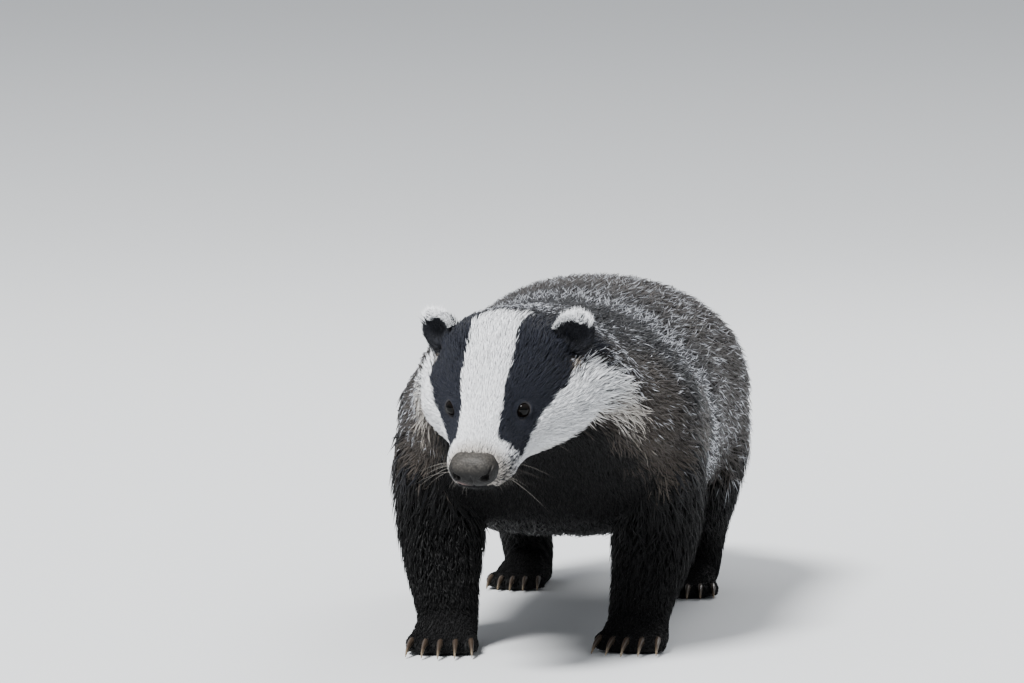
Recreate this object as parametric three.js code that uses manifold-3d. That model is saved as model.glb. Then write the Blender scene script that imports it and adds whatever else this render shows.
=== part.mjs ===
// A European badger, life size, standing on four feet with its head lowered, as a still museum model.
// Millimetres, +Z up. The animal looks along -Y, its left side is +X and its soles are flats at Z = 0.
// While it is modelled, distances back are counted from the tip of the nose. The group then moves it
// so that the origin is on the floor under the middle of its bounding box.

import * as THREE from "three";
import { mergeVertices } from "three/addons/utils/BufferGeometryUtils.js";
import Module from "manifold-3d";

const wasm = await Module();
wasm.setup();

// Pose
const NOSE_HEIGHT = 150;
const HEAD_PITCH = 35;
const HEAD_TURN = -8;
const TURN_STARTS = 150;
const TURN_ENDS = 190;
const HEAD_ENDS_BACK = 105;

// The gap that pieces keep where they meet end to end, the wider ones round a neighbour's slanting flank
// and round its locks, and the fineness to which the surfaces are cleaned
const GAP = 0.3;
const FLANK_GAP = 0.6;
const LOCK_GAP = 1;
const TOLERANCE = 0.12;

// Locks of the coat: how thick each is, how deep its root is sunk, its width as a share of the spacing,
// how much they vary, how soon they bend flat, the share of the coat's depth that the tips reach,
// the steps in which they are laid over the skin, and how far they may run past a body's end
const LOCK_THICK = 4.4;
const LOCK_SINK = 3.5;
const LOCK_WIDE = 1.1;
const LOCK_JITTER = 0.22;
const LOCK_BEND = 1.6;
const LOCK_TIP = 0.7;
const LOCK_WALK = 4;
const LOCK_PAST_END = 22;
const LOCK_TRIES = 2500;

// Face
const EYE = { along: 57, angle: 38, radius: 6.3, showing: 2.6, lid: 1.9, slitWide: 5.6, slitTall: 4.4 };
const NOSE = { halfWide: 18.5, halfTall: 12.5, halfDeep: 11, back: 8.5, level: 0.5 };
const NOSTRIL = { aside: 8.8, level: -3, radius: 3.3, deep: 7 };
const MOUTH = { front: -14.5, corner: -15.5, length: 50, slit: 1.1, deep: 5 };
const EAR = { aside: 51, along: 126, up: 32, halfWide: 15.5, halfTall: 17, halfThick: 8, wall: 3.4 };

// Feet: how far the sole's middle is out from the middle line and back from the nose, how far one foot
// is ahead of the other, the height of the wrist, and the half sizes of the sole
const FORE = { out: 70, back: 192, stagger: 16, wrist: 42, claw: 26, toeWide: 10.4, palm: [26, 30, 17], turn: -4 };
const HIND = { out: 70, back: 548, stagger: -14, wrist: 34, claw: 14, toeWide: 9.2, palm: [22, 42, 15], turn: 4 };
const TOES = 5;

const rad = THREE.MathUtils.degToRad;
const point = (x, y, z) => new THREE.Vector3(x, y, z);

// A repeatable random number from 0 to 1
let seed = 20257;
function random() {
  seed = (Math.imul(seed, 1664525) + 1013904223) >>> 0;
  return seed / 4294967296;
}
const vary = (share) => 1 + share * (2 * random() - 1);

// Solids: from a three.js geometry to a closed solid and back

function solid(geometry) {
  const bare = geometry.clone();
  bare.deleteAttribute("normal");
  bare.deleteAttribute("uv");
  const merged = mergeVertices(bare, 1e-4);
  const corners = new Uint32Array(merged.index.array);
  const make = () =>
    new wasm.Manifold(
      new wasm.Mesh({ numProp: 3, vertProperties: merged.attributes.position.array, triVerts: corners }),
    );
  const made = make();
  if (made.volume() > 0) return made;
  for (let i = 0; i < corners.length; i += 3) {
    [corners[i + 1], corners[i + 2]] = [corners[i + 2], corners[i + 1]];
  }
  return make();
}

function geometryOf(body) {
  const mesh = body.getMesh();
  const geometry = new THREE.BufferGeometry();
  geometry.setAttribute("position", new THREE.BufferAttribute(new Float32Array(mesh.vertProperties), 3));
  geometry.setIndex(new THREE.BufferAttribute(new Uint32Array(mesh.triVerts), 1));
  geometry.computeVertexNormals();
  return geometry;
}

const fuse = (bodies) => wasm.Manifold.union(bodies);

// The largest closed surface of a solid, which fills sealed hollows and drops scraps.
function largest(body) {
  const parts = body.decompose().sort((a, b) => b.volume() - a.volume());
  return parts[0];
}

// A solid with the slivers of its cuts and joins cleaned away, once as it is and once rounded as it is stored.
function cleaned(body) {
  const rounded = solid(geometryOf(largest(body).simplify(TOLERANCE)));
  return largest(rounded.simplify(TOLERANCE));
}

// Whether a point lies inside a solid, tested with a small grain placed there.
const grain = new THREE.OctahedronGeometry(0.5);
function inside(p, body) {
  const placed = grain.clone().translate(p.x, p.y, p.z);
  return solid(placed).intersect(body).volume() > 0;
}

// Closed surface through rings of points, with a fan to the middle of each end ring.
function skinOver(rings) {
  const sides = rings[0].length;
  const middle = (ring) => ring.reduce((sum, p) => sum.add(p), point(0, 0, 0)).divideScalar(sides);
  const points = [...rings.flat(), middle(rings[0]), middle(rings[rings.length - 1])];
  const faces = [];
  for (let j = 0; j < sides; j += 1) {
    const k = (j + 1) % sides;
    faces.push(points.length - 2, k, j);
    for (let i = 0; i + 1 < rings.length; i += 1) {
      const [a, b, c, d] = [i * sides + j, i * sides + k, (i + 1) * sides + j, (i + 1) * sides + k];
      faces.push(a, b, d, a, d, c);
    }
    const last = (rings.length - 1) * sides;
    faces.push(points.length - 1, last + j, last + k);
  }
  return new THREE.BufferGeometry().setFromPoints(points).setIndex(faces);
}

// An ellipsoid with its three half sizes along the axes of a placing matrix.
function ellipsoid(halves, placing, around = 12, up = 8) {
  const ball = new THREE.SphereGeometry(1, around, up);
  return solid(ball.scale(...halves).applyMatrix4(placing));
}

// Lofts: a body's skin as sections along a line, with a coat of some depth over it

const NUMBERS = ["halfWide", "rise", "drop", "squareTop", "squareBottom", "coat", "core", "belly"];

function spline(a, b, c, d, t) {
  return b + 0.5 * t * (c - a + t * (2 * a - 5 * b + 4 * c - d + t * (3 * (b - c) + d - a)));
}

class Loft {
  constructor(stations, reliefs = []) {
    this.stations = stations;
    this.reliefs = reliefs;
    this.last = stations.length - 1;
  }

  // The section at a place s along the stations, where whole numbers are the stations themselves.
  section(s) {
    const at = Math.min(Math.max(s, 0), this.last);
    const i = Math.min(Math.floor(at), this.last - 1);
    const four = [i - 1, i, i + 1, i + 2].map((n) => this.stations[Math.min(Math.max(n, 0), this.last)]);
    const mix = (read) => spline(...four.map(read), at - i);
    const vector = (name) => point(...["x", "y", "z"].map((axis) => mix((f) => f[name][axis])));
    const made = { centre: vector("centre"), side: vector("side").normalize(), up: vector("up").normalize() };
    NUMBERS.forEach((name) => (made[name] = mix((f) => f[name])));
    return made;
  }

  // The depth of the coat or of its core over the skin. The coat is shorter under the belly.
  depth(section, name, angle) {
    if (name === "core") return section.core;
    const under = Math.max(0, -Math.sin(angle)) ** 2;
    return section.coat * (1 - (1 - section.belly) * under);
  }

  // The point at an angle round the section, at a depth over the skin. Angle 0 is the left side, 90 the back.
  point(s, angle, over) {
    const f = this.section(s);
    const depth = typeof over === "string" ? this.depth(f, over, angle) : over;
    const [c, n] = [Math.cos(angle), Math.sin(angle)];
    const power = 2 / (n > 0 ? f.squareTop : f.squareBottom);
    const across = Math.sign(c) * Math.abs(c) ** power * (f.halfWide + depth);
    const high = Math.sign(n) * Math.abs(n) ** power * ((n > 0 ? f.rise : f.drop) + depth);
    const out = f.side.clone().multiplyScalar(across).addScaledVector(f.up, high);
    const p = f.centre.clone().add(out);
    const lift = this.reliefs.reduce(
      (sum, r) => sum + r.height * Math.exp(-p.distanceToSquared(r.at) / (2 * r.radius ** 2)),
      0,
    );
    p.addScaledVector(out.normalize(), lift);
    if (s > this.last) p.addScaledVector(this.heading(this.last), (s - this.last) * this.pace(this.last));
    return p;
  }

  // The direction in which the sections follow each other, and how far their centres are apart there.
  heading(s) {
    return this.section(s).centre.sub(this.section(s - 0.2).centre).normalize();
  }

  pace(s) {
    return this.section(s).centre.distanceTo(this.section(s - 0.2).centre) / 0.2;
  }

  // How far the coat's core runs at an angle for one whole step of s.
  stretch(s, angle) {
    return this.point(s + 0.05, angle, "core").distanceTo(this.point(s - 0.05, angle, "core")) / 0.1;
  }

  ring(s, sides, grow = 0, shift = 0) {
    const along = this.heading(Math.max(s, 0.2)).multiplyScalar(shift);
    return Array.from({ length: sides }, (_, j) => {
      const angle = (2 * Math.PI * j) / sides;
      return this.point(s, angle, this.section(s).core + grow).add(along);
    });
  }

  // The solid core of the coat between two places, with its end faces moved in by shift.
  body(from, to, { sides = 24, steps = 2, grow = 0, shift = 0 } = {}) {
    const count = Math.max(2, Math.round((to - from) * steps));
    const rings = Array.from({ length: count + 1 }, (_, i) => {
      const inset = i === 0 ? shift : i === count ? -shift : 0;
      return this.ring(from + ((to - from) * i) / count, sides, grow, inset);
    });
    return solid(skinOver(rings));
  }
}

// Locks of the coat: flat, tapered and keeled, sunk at the root and lying flatter towards the tip

const LOCK_SHAPE = [
  { t: 0, wide: 0.8, thick: 1 },
  { t: 0.36, wide: 1, thick: 1 },
  { t: 0.76, wide: 0.62, thick: 0.7 },
];

// A grown lock, which cuts the neighbours, is mostly longer and wider, because its edges are so thin.
function lock(loft, { s, angle, length, width, sweep, lift }, grow = 0) {
  // The place at a share t of the length, walked along the skin, and its height over the skin
  const place = (t) => {
    const turn = angle + sweep * t;
    let at = s;
    for (let i = 0; i < LOCK_WALK; i += 1) at += (length * t) / LOCK_WALK / loft.stretch(at, turn);
    const f = loft.section(at);
    const low = f.core - LOCK_SINK;
    const high = loft.depth(f, "coat", turn) * LOCK_TIP + lift;
    return loft.point(at, turn, high + (low - high) * Math.max(0, 1 - t) ** LOCK_BEND - grow / 2);
  };
  const around = loft.point(s, angle + 0.05, "core").sub(loft.point(s, angle - 0.05, "core"));
  const rings = LOCK_SHAPE.map(({ t, wide, thick }) => {
    const share = t === 0 ? (-2 * grow) / length : t;
    const middle = place(share);
    const along = place(share + 0.02).sub(place(share - 0.02)).normalize();
    const out = around.clone().cross(along).normalize();
    if (out.dot(middle.clone().sub(loft.section(s).centre)) < 0) out.negate();
    const across = along.clone().cross(out).normalize();
    const half = (width / 2) * wide + 3 * grow;
    return [
      middle.clone().addScaledVector(across, half),
      middle.clone().addScaledVector(out, LOCK_THICK * thick + 2 * grow),
      middle.clone().addScaledVector(across, -half),
    ];
  });
  const tip = place(1 + (6 * grow) / length);
  const points = [...rings.flat(), tip];
  const faces = [0, 1, 2];
  for (let i = 0; i + 1 < rings.length; i += 1) {
    for (let j = 0; j < 3; j += 1) {
      const [a, b, c, d] = [i * 3 + j, i * 3 + ((j + 1) % 3), i * 3 + 3 + j, i * 3 + 3 + ((j + 1) % 3)];
      faces.push(a, c, b, b, c, d);
    }
  }
  const end = (rings.length - 1) * 3;
  for (let j = 0; j < 3; j += 1) faces.push(end + j, points.length - 1, end + ((j + 1) % 3));
  return solid(new THREE.BufferGeometry().setFromPoints(points).setIndex(faces));
}

// Where the locks of one patch grow: places drawn at random, each a fair distance from all the others.
function patch(loft, { from, to, fromAngle, toAngle, along, across, length, sweep = 0, flat = 0, keep = () => true }) {
  const roots = [];
  for (let i = 0; i < LOCK_TRIES; i += 1) {
    const s = from + (to - from) * random();
    const angle = rad(fromAngle + (toAngle - fromAngle) * random());
    const at = loft.point(s, angle, "core");
    const lie = loft.point(s + 0.05, angle, "core").sub(at).normalize();
    const crowded = roots.some((root) => {
      const off = at.clone().sub(root.at);
      const back = off.dot(lie);
      const aside = Math.sqrt(Math.max(0, off.lengthSq() - back ** 2));
      return (back / along) ** 2 + (aside / across) ** 2 < 1;
    });
    if (crowded || !keep(at)) continue;
    const room = (loft.last - s) * loft.stretch((s + loft.last) / 2, angle) + LOCK_PAST_END;
    roots.push({
      at,
      s,
      angle,
      length: Math.min(length * vary(LOCK_JITTER), room),
      width: across * LOCK_WIDE * vary(LOCK_JITTER / 2),
      sweep: -sweep * Math.cos(angle) * vary(0.4),
      lift: 2 * (random() - 0.5) - flat,
    });
  }
  return roots;
}

const locksOf = (loft, roots, grow = 0) => roots.map((root) => lock(loft, root, grow));

// The line of the body, from the muzzle to the rump

const neckPivot = point(0, TURN_STARTS, 0);

function turned(share) {
  const about = new THREE.Matrix4().makeTranslation(neckPivot);
  const turn = new THREE.Matrix4().makeRotationZ(rad(HEAD_TURN * share));
  return about.multiply(turn).multiply(new THREE.Matrix4().makeTranslation(neckPivot.clone().negate()));
}

// The head's own frame: x to its left, y back along its axis from the nose, z out of its crown
const headFrame = turned(1)
  .multiply(new THREE.Matrix4().makeTranslation(0, 0, NOSE_HEIGHT))
  .multiply(new THREE.Matrix4().makeRotationX(rad(HEAD_PITCH)));
const inHead = (x, along, up) => point(x, along, up).applyMatrix4(headFrame);

function station(frame, { centre, halfWide, rise, drop, square = [2.1, 2.1], coat, core, belly = 1 }) {
  const side = point(1, 0, 0).transformDirection(frame);
  const up = point(0, 0, 1).transformDirection(frame);
  const [squareTop, squareBottom] = square;
  return { centre, side, up, halfWide, rise, drop, squareTop, squareBottom, coat, core, belly };
}

// Along the head's axis: half width, top and bottom from the axis, and the level of the widest place
const headSections = [
  { along: 5, level: -4, halfWide: 12, top: 7, bottom: -14, coat: 1.2 },
  { along: 9, level: -5, halfWide: 17.5, top: 11, bottom: -18, coat: 1.5 },
  { along: 18, level: -6, halfWide: 20.5, top: 14, bottom: -21, coat: 1.8 },
  { along: 30, level: -6, halfWide: 23, top: 17, bottom: -24, coat: 2 },
  { along: 43, level: -5, halfWide: 27, top: 21, bottom: -27, coat: 2.2 },
  { along: 57, level: -4, halfWide: 35, top: 28, bottom: -31, coat: 2.5 },
  { along: 74, level: -6, halfWide: 46, top: 37, bottom: -37, coat: 4 },
  { along: 94, level: -10, halfWide: 57, top: 43, bottom: -43, coat: 5 },
  { along: 117, level: -12, halfWide: 62, top: 48, bottom: -48, coat: 7 },
];
const headStations = headSections.map(({ along, level, halfWide, top, bottom, coat }) =>
  station(headFrame, {
    centre: inHead(0, along, level),
    halfWide,
    rise: top - level,
    drop: level - bottom,
    square: [2.1, 2.1],
    coat,
    core: coat * 0.75,
  }),
);

// Along the neck and trunk: distance back, height of the widest place, half width, and skin heights
const bodyStations = [
  { back: 118, tilt: 20, level: 210, halfWide: 71, top: 257, bottom: 170, coat: 12, core: 6, square: 1.9 },
  { back: 152, tilt: 10, level: 190, halfWide: 80, top: 253, bottom: 142, coat: 14, core: 7, square: 1.8 },
  { back: 200, tilt: 2, level: 172, halfWide: 96, top: 248, bottom: 103, coat: 16, core: 8, square: 1.75 },
  { back: 255, tilt: 0, level: 164, halfWide: 103, top: 246, bottom: 88, coat: 16, core: 8, square: 1.8 },
  { back: 325, tilt: 0, level: 159, halfWide: 101, top: 247, bottom: 82, coat: 16, core: 8, square: 1.95 },
  { back: 400, tilt: 0, level: 158, halfWide: 102, top: 249, bottom: 78, coat: 16, core: 8, square: 2.1 },
  { back: 475, tilt: 0, level: 160, halfWide: 103, top: 248, bottom: 80, coat: 16, core: 8, square: 2.15 },
  { back: 545, tilt: 0, level: 164, halfWide: 98, top: 241, bottom: 88, coat: 16, core: 8, square: 2.15 },
  { back: 600, tilt: -4, level: 166, halfWide: 80, top: 226, bottom: 106, coat: 16, core: 8, square: 2.1 },
  { back: 638, tilt: -8, level: 168, halfWide: 50, top: 203, bottom: 130, coat: 16, core: 8, square: 2 },
  { back: 652, tilt: -10, level: 169, halfWide: 25, top: 188, bottom: 150, coat: 15, core: 8, square: 2 },
  { back: 660, tilt: -10, level: 169, halfWide: 5, top: 173, bottom: 165, coat: 10, core: 5, square: 2 },
].map(({ back, tilt, level, halfWide, top, bottom, coat, core, square }) => {
  const share = THREE.MathUtils.clamp((TURN_ENDS - back) / (TURN_ENDS - HEAD_ENDS_BACK), 0, 1);
  const frame = turned(share).multiply(new THREE.Matrix4().makeRotationX(rad(tilt)));
  return station(frame, {
    centre: point(0, back, level).applyMatrix4(turned(share)),
    halfWide,
    rise: (top - level) / Math.cos(rad(tilt)),
    drop: (level - bottom) / Math.cos(rad(tilt)),
    square: [square, 2.5],
    coat,
    core,
    belly: 0.5,
  });
});

const HEAD_ENDS = headStations.length - 0.4;
const NECK_ENDS = headStations.length + 1.5;

// Forms on the skin that the sections don't give: where, how wide, and how far out or in
const headReliefs = [
  { aside: 25, along: 50, up: 15, radius: 7, height: -2.5 },
  { aside: 21, along: 66, up: 27, radius: 9, height: 2.5 },
  { aside: 46, along: 84, up: -2, radius: 15, height: 3 },
  { aside: 18, along: 24, up: -9, radius: 8, height: 3.2 },
  { aside: 21, along: 40, up: 8, radius: 9, height: -2.2 },
  { aside: 17, along: 42, up: -20, radius: 8, height: 1.5 },
  { aside: 54, along: 117, up: 21, radius: 15, height: -8 },
].flatMap(({ aside, along, up, radius, height }) =>
  [1, -1].map((mirror) => ({ at: inHead(mirror * aside, along, up), radius, height })),
);
const bodyReliefs = [
  { aside: 88, back: 225, up: 180, radius: 32, height: 5 },
  { aside: 84, back: 548, up: 165, radius: 42, height: 7 },
  { aside: 98, back: 440, up: 130, radius: 38, height: -4 },
].flatMap(({ aside, back, up, radius, height }) =>
  [1, -1].map((mirror) => ({ at: point(mirror * aside, back, up), radius, height })),
);

const flesh = new Loft([...headStations, ...bodyStations], [...headReliefs, ...bodyReliefs]);

// Limbs and tail: a tube along a line of joints

function limbStations(joints, step = 0) {
  const centres = joints.map(({ at: [x, y, z] }, i) => point(x, y + (step * i) / (joints.length - 1), z));
  return joints.map(({ across, front, behind, coat, core }, i) => {
    const before = centres[Math.max(i - 1, 0)];
    const after = centres[Math.min(i + 1, centres.length - 1)];
    const side = point(1, 0, 0);
    const up = after.clone().sub(before).normalize().cross(side).normalize();
    const sizes = { halfWide: across, rise: front, drop: behind, squareTop: 2.2, squareBottom: 2.2 };
    return { centre: centres[i], side, up, ...sizes, coat, core, belly: 1 };
  });
}

// From inside the trunk down: place, then half sizes across, to the front and behind
const foreJoints = [
  { at: [68, 226, 196], across: 30, front: 38, behind: 38, coat: 14, core: 7 },
  { at: [76, 228, 150], across: 31, front: 38, behind: 40, coat: 13, core: 7 },
  { at: [80, 233, 112], across: 29, front: 32, behind: 34, coat: 10, core: 6 },
  { at: [80, 229, 80], across: 27, front: 25, behind: 28, coat: 8, core: 5 },
  { at: [76, 216, 50], across: 23, front: 21, behind: 23, coat: 5, core: 4 },
  { at: [71, 207, 25], across: 21, front: 20, behind: 20, coat: 3, core: 3 },
  { at: [70, 203, 6], across: 21, front: 20, behind: 19, coat: 3, core: 3 },
];
const hindJoints = [
  { at: [58, 550, 190], across: 30, front: 50, behind: 46, coat: 14, core: 7 },
  { at: [70, 546, 148], across: 34, front: 54, behind: 50, coat: 13, core: 7 },
  { at: [77, 544, 112], across: 28, front: 45, behind: 44, coat: 11, core: 6 },
  { at: [78, 556, 80], across: 22, front: 29, behind: 31, coat: 8, core: 5 },
  { at: [74, 573, 50], across: 18, front: 20, behind: 21, coat: 5, core: 4 },
  { at: [71, 577, 26], across: 18, front: 20, behind: 18, coat: 3, core: 3 },
  { at: [70, 574, 6], across: 18, front: 24, behind: 17, coat: 3, core: 3 },
];
const tailJoints = [
  { at: [0, 618, 208], across: 21, front: 19, behind: 19, coat: 9, core: 5 },
  { at: [0, 650, 196], across: 19, front: 18, behind: 18, coat: 11, core: 5 },
  { at: [0, 678, 172], across: 16, front: 15, behind: 15, coat: 12, core: 5 },
  { at: [0, 697, 138], across: 13, front: 12, behind: 12, coat: 12, core: 5 },
  { at: [0, 706, 104], across: 9, front: 9, behind: 9, coat: 12, core: 4 },
  { at: [0, 709, 84], across: 4, front: 4, behind: 4, coat: 11, core: 3 },
];

// A foot's own shape above its sole, from heel to toes: distance forward, half width and height
const footShape = [
  { ahead: -0.95, wide: 0.6, high: 1.3 },
  { ahead: -0.5, wide: 0.84, high: 1.9 },
  { ahead: 0, wide: 0.95, high: 1.9 },
  { ahead: 0.45, wide: 1, high: 1.35 },
  { ahead: 0.85, wide: 0.96, high: 0.85 },
  { ahead: 1, wide: 0.88, high: 0.5 },
];

const mirrored = (body, side) => (side > 0 ? body : body.mirror([1, 0, 0]));

// A foot in its own place: a flat sole, the instep over it, five toes and their claws.
function foot({ out, back, claw, toeWide, palm, turn }, step) {
  const [halfWide, halfLong, halfTall] = palm;
  const place = new THREE.Matrix4()
    .makeTranslation(out, back + step, 0)
    .multiply(new THREE.Matrix4().makeRotationZ(rad(turn)));
  const at = (x, y, z) => place.clone().multiply(new THREE.Matrix4().makeTranslation(x, y, z));
  const stations = footShape.map(({ ahead, wide, high }) =>
    station(place, {
      centre: point(0, -ahead * halfLong, halfTall * 0.45).applyMatrix4(place),
      halfWide: wide * halfWide,
      rise: (high - 0.45) * halfTall,
      drop: halfTall * 0.6,
      square: [2.2, 3],
      coat: 0,
      core: 0,
    }),
  );
  const toes = [];
  const sole = new Loft(stations).body(0, stations.length - 1, { sides: 12, steps: 1 });
  for (let i = 0; i < TOES; i += 1) {
    const fan = i - (TOES - 1) / 2;
    const reach = halfLong * 0.86 - 1.9 * fan * fan;
    const toe = at(fan * toeWide * 1.02, -reach, toeWide * 0.72).multiply(
      new THREE.Matrix4().makeRotationZ(rad(3.5 * fan)),
    );
    toes.push(ellipsoid([toeWide * 0.58, toeWide * 1.3, toeWide * 0.88], toe, 8, 4));
    toes.push(clawOf(toe, toeWide, claw * (1 - 0.05 * Math.abs(fan))));
  }
  return fuse([sole, ...toes]);
}

// A claw: a four-sided horn that leaves the top of its toe level and curves down to just over the floor.
function clawOf(toe, toeWide, length) {
  const rootUp = toeWide * 0.28;
  const fall = toeWide * 0.72 + rootUp - 1.6;
  const rings = [0, 0.45, 0.8, 1].map((t) => {
    const y = -toeWide * 0.75 - length * t * (1 - 0.08 * t);
    const z = rootUp - fall * t ** 2.2;
    const half = 2.9 * (1 - t) ** 0.8 + 0.35;
    const lean = half * 0.9 * t;
    return [
      point(half * 0.72, y, z),
      point(0, y - lean, z + half),
      point(-half * 0.72, y, z),
      point(0, y + lean, z - half * (1 - 0.4 * t)),
    ].map((p) => p.applyMatrix4(toe));
  });
  return solid(skinOver(rings));
}

// Face pieces

const surfaceAt = (along, angle, over) => {
  const next = headSections.findIndex((section) => section.along > along);
  const [before, after] = [headSections[next - 1].along, headSections[next].along];
  return flesh.point(next - 1 + (along - before) / (after - before), rad(angle), over);
};

function surfaceFrame(along, angle, over) {
  const p = surfaceAt(along, angle, over);
  const back = surfaceAt(along + 2, angle, over).sub(p);
  const round = surfaceAt(along, angle + 3, over).sub(p);
  const out = round.cross(back).normalize();
  if (out.dot(p.clone().sub(inHead(0, along, 0))) < 0) out.negate();
  return { p, out };
}

const eyeSeat = surfaceFrame(EYE.along, EYE.angle, 0);
// The eye looks out of the face, turned a little more to the front than the skin around it
const gaze = eyeSeat.out.clone().addScaledVector(inHead(0, -1, 0).sub(inHead(0, 0, 0)), 0.35).normalize();
const eyeCentre = eyeSeat.p.clone().addScaledVector(gaze, EYE.showing - EYE.radius);
const slitAlong = inHead(0, 1, 0.35).sub(inHead(0, 0, 0)).normalize();

function facing(centre, out, along) {
  const x = along.clone().addScaledVector(out, -along.dot(out)).normalize();
  const y = out.clone().cross(x);
  return new THREE.Matrix4().makeBasis(x, y, out).setPosition(centre);
}

const mirrorInHead = new THREE.Matrix4()
  .copy(headFrame)
  .multiply(new THREE.Matrix4().makeScale(-1, 1, 1))
  .multiply(headFrame.clone().invert());
const onSide = (matrix, side) => (side > 0 ? matrix.clone() : mirrorInHead.clone().multiply(matrix));

const eyeFrame = facing(eyeCentre, gaze, slitAlong);
const ball = (radius, side) => ellipsoid([radius, radius, radius], onSide(eyeFrame, side), 12, 8);

function lids(side) {
  return ellipsoid(
    [EYE.radius + EYE.lid, EYE.radius + EYE.lid * 0.8, EYE.radius + EYE.lid],
    onSide(eyeFrame, side),
    14,
    8,
  );
}

function eyeSlit(side) {
  const middle = eyeFrame.clone().multiply(new THREE.Matrix4().makeTranslation(0, 0, EYE.radius));
  return ellipsoid([EYE.slitWide, EYE.slitTall, EYE.radius], onSide(middle, side), 12, 6);
}

// The mouth: a thin curved slit right across the muzzle, from the front to under the eye
function mouthSlit(inside) {
  const half = MOUTH.slit / 2;
  const middle = new THREE.Vector2(MOUTH.length * 0.5, MOUTH.front - 3);
  const line = new THREE.QuadraticBezierCurve(
    new THREE.Vector2(-10, MOUTH.front + 1),
    middle,
    new THREE.Vector2(MOUTH.length, MOUTH.corner),
  ).getPoints(5);
  const above = line.map((p) => new THREE.Vector2(p.x, p.y + half));
  const below = line.map((p) => new THREE.Vector2(p.x, p.y - half)).reverse();
  const wide = 80;
  const slab = new THREE.ExtrudeGeometry(new THREE.Shape([...above, ...below]), {
    depth: wide,
    bevelEnabled: false,
  });
  // The shape's x runs back along the head and its y up, and it is drawn out across the head
  const place = new THREE.Matrix4().makeBasis(point(0, 1, 0), point(0, 0, 1), point(1, 0, 0));
  place.setPosition(-wide / 2, 0, 0);
  return solid(slab.applyMatrix4(headFrame.clone().multiply(place))).subtract(inside);
}

function nosePad() {
  const { halfWide, halfTall, halfDeep, back, level } = NOSE;
  const pad = new THREE.SphereGeometry(1, 16, 10);
  const places = pad.attributes.position;
  for (let i = 0; i < places.count; i += 1) {
    const [x, y, z] = [places.getX(i), places.getY(i), places.getZ(i)];
    const boxy = (v, power) => Math.sign(v) * Math.abs(v) ** power;
    const wide = halfWide * (1 - 0.14 * Math.max(0, -y));
    const dip = 1.6 * Math.exp(-((x / 0.12) ** 2)) * Math.max(0, -z) * (y < 0.45 ? 1 : 0.2);
    places.setXYZ(i, boxy(x, 0.88) * wide, boxy(z, 0.75) * halfDeep + dip, boxy(y, 0.86) * halfTall);
  }
  const frame = headFrame.clone().multiply(new THREE.Matrix4().makeTranslation(0, back, level));
  let body = solid(pad.applyMatrix4(frame));
  for (const side of [1, -1]) {
    const hole = headFrame
      .clone()
      .multiply(new THREE.Matrix4().makeTranslation(side * NOSTRIL.aside, back - halfDeep, NOSTRIL.level));
    const round = hole.clone().multiply(new THREE.Matrix4().makeRotationZ(side * 0.3));
    const comma = hole.clone().multiply(new THREE.Matrix4().makeTranslation(side * 5, 2.2, 3.4));
    body = body.subtract(ellipsoid([NOSTRIL.radius, NOSTRIL.deep, NOSTRIL.radius * 0.9], round, 8, 6));
    body = body.subtract(ellipsoid([4.2, 5, 1.3], comma.multiply(new THREE.Matrix4().makeRotationY(side * -0.5)), 8, 4));
  }
  return body;
}

// An ear: a rounded flap with a cup hollowed out of its front
function ear(side) {
  const headAxis = (x, along, up) => inHead(x, along, up).sub(inHead(0, 0, 0)).normalize();
  const tall = headAxis(0.32, 0.5, 0.8);
  const cup = headAxis(0.35, -0.92, 0.2);
  cup.addScaledVector(tall, -cup.dot(tall)).normalize();
  const wide = cup.clone().cross(tall);
  const frame = new THREE.Matrix4().makeBasis(wide, cup, tall).setPosition(inHead(EAR.aside, EAR.along, EAR.up));
  const flap = ellipsoid([EAR.halfWide, EAR.halfThick, EAR.halfTall], onSide(frame, side), 12, 10);
  const hollow = frame.clone().multiply(new THREE.Matrix4().makeTranslation(0, EAR.halfThick * 0.95, 1));
  const scoop = ellipsoid(
    [EAR.halfWide - EAR.wall, EAR.halfThick * 1.35, EAR.halfTall - EAR.wall],
    onSide(hollow, side),
    12,
    8,
  );
  return flap.subtract(scoop);
}

// Coat: where the locks grow on the body

const cheekRoots = [-1, 1].flatMap((side) =>
  patch(flesh, {
    from: HEAD_ENDS - 1.5,
    to: HEAD_ENDS - 0.3,
    fromAngle: side > 0 ? -70 : 166,
    toAngle: side > 0 ? 14 : 250,
    along: 15,
    across: 19,
    length: 34,
    sweep: 0.12,
    flat: 3.5,
  }),
);
const neckRoots = patch(flesh, {
  from: HEAD_ENDS + 0.1,
  to: NECK_ENDS - 0.42,
  fromAngle: -65,
  toAngle: 245,
  along: 30,
  across: 28,
  length: 54,
  sweep: 0.2,
});
const torsoRoots = patch(flesh, {
  from: NECK_ENDS + 0.1,
  to: flesh.last - 1.3,
  fromAngle: -44,
  toAngle: 224,
  along: 50,
  across: 40,
  length: 78,
  sweep: 0.2,
});

// Cores of the body's three lengths, whole or grown as a cutting tool
const headCore = (grow, shift) => flesh.body(0, HEAD_ENDS, { sides: 28, steps: 2.3, grow, shift });
const neckCore = (grow, shift) => flesh.body(HEAD_ENDS, NECK_ENDS, { sides: 24, steps: 2, grow, shift });
const torsoCore = (grow, shift) => flesh.body(NECK_ENDS, flesh.last, { sides: 24, steps: 1.5, grow, shift });
const cutting = (core) => core(FLANK_GAP, -GAP / 2);

// A finished form together with its copy a gap further back, which cuts what lies behind it
const trailing = (body) => fuse([body, solid(geometryOf(body).translate(0, GAP, 0))]);

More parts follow.
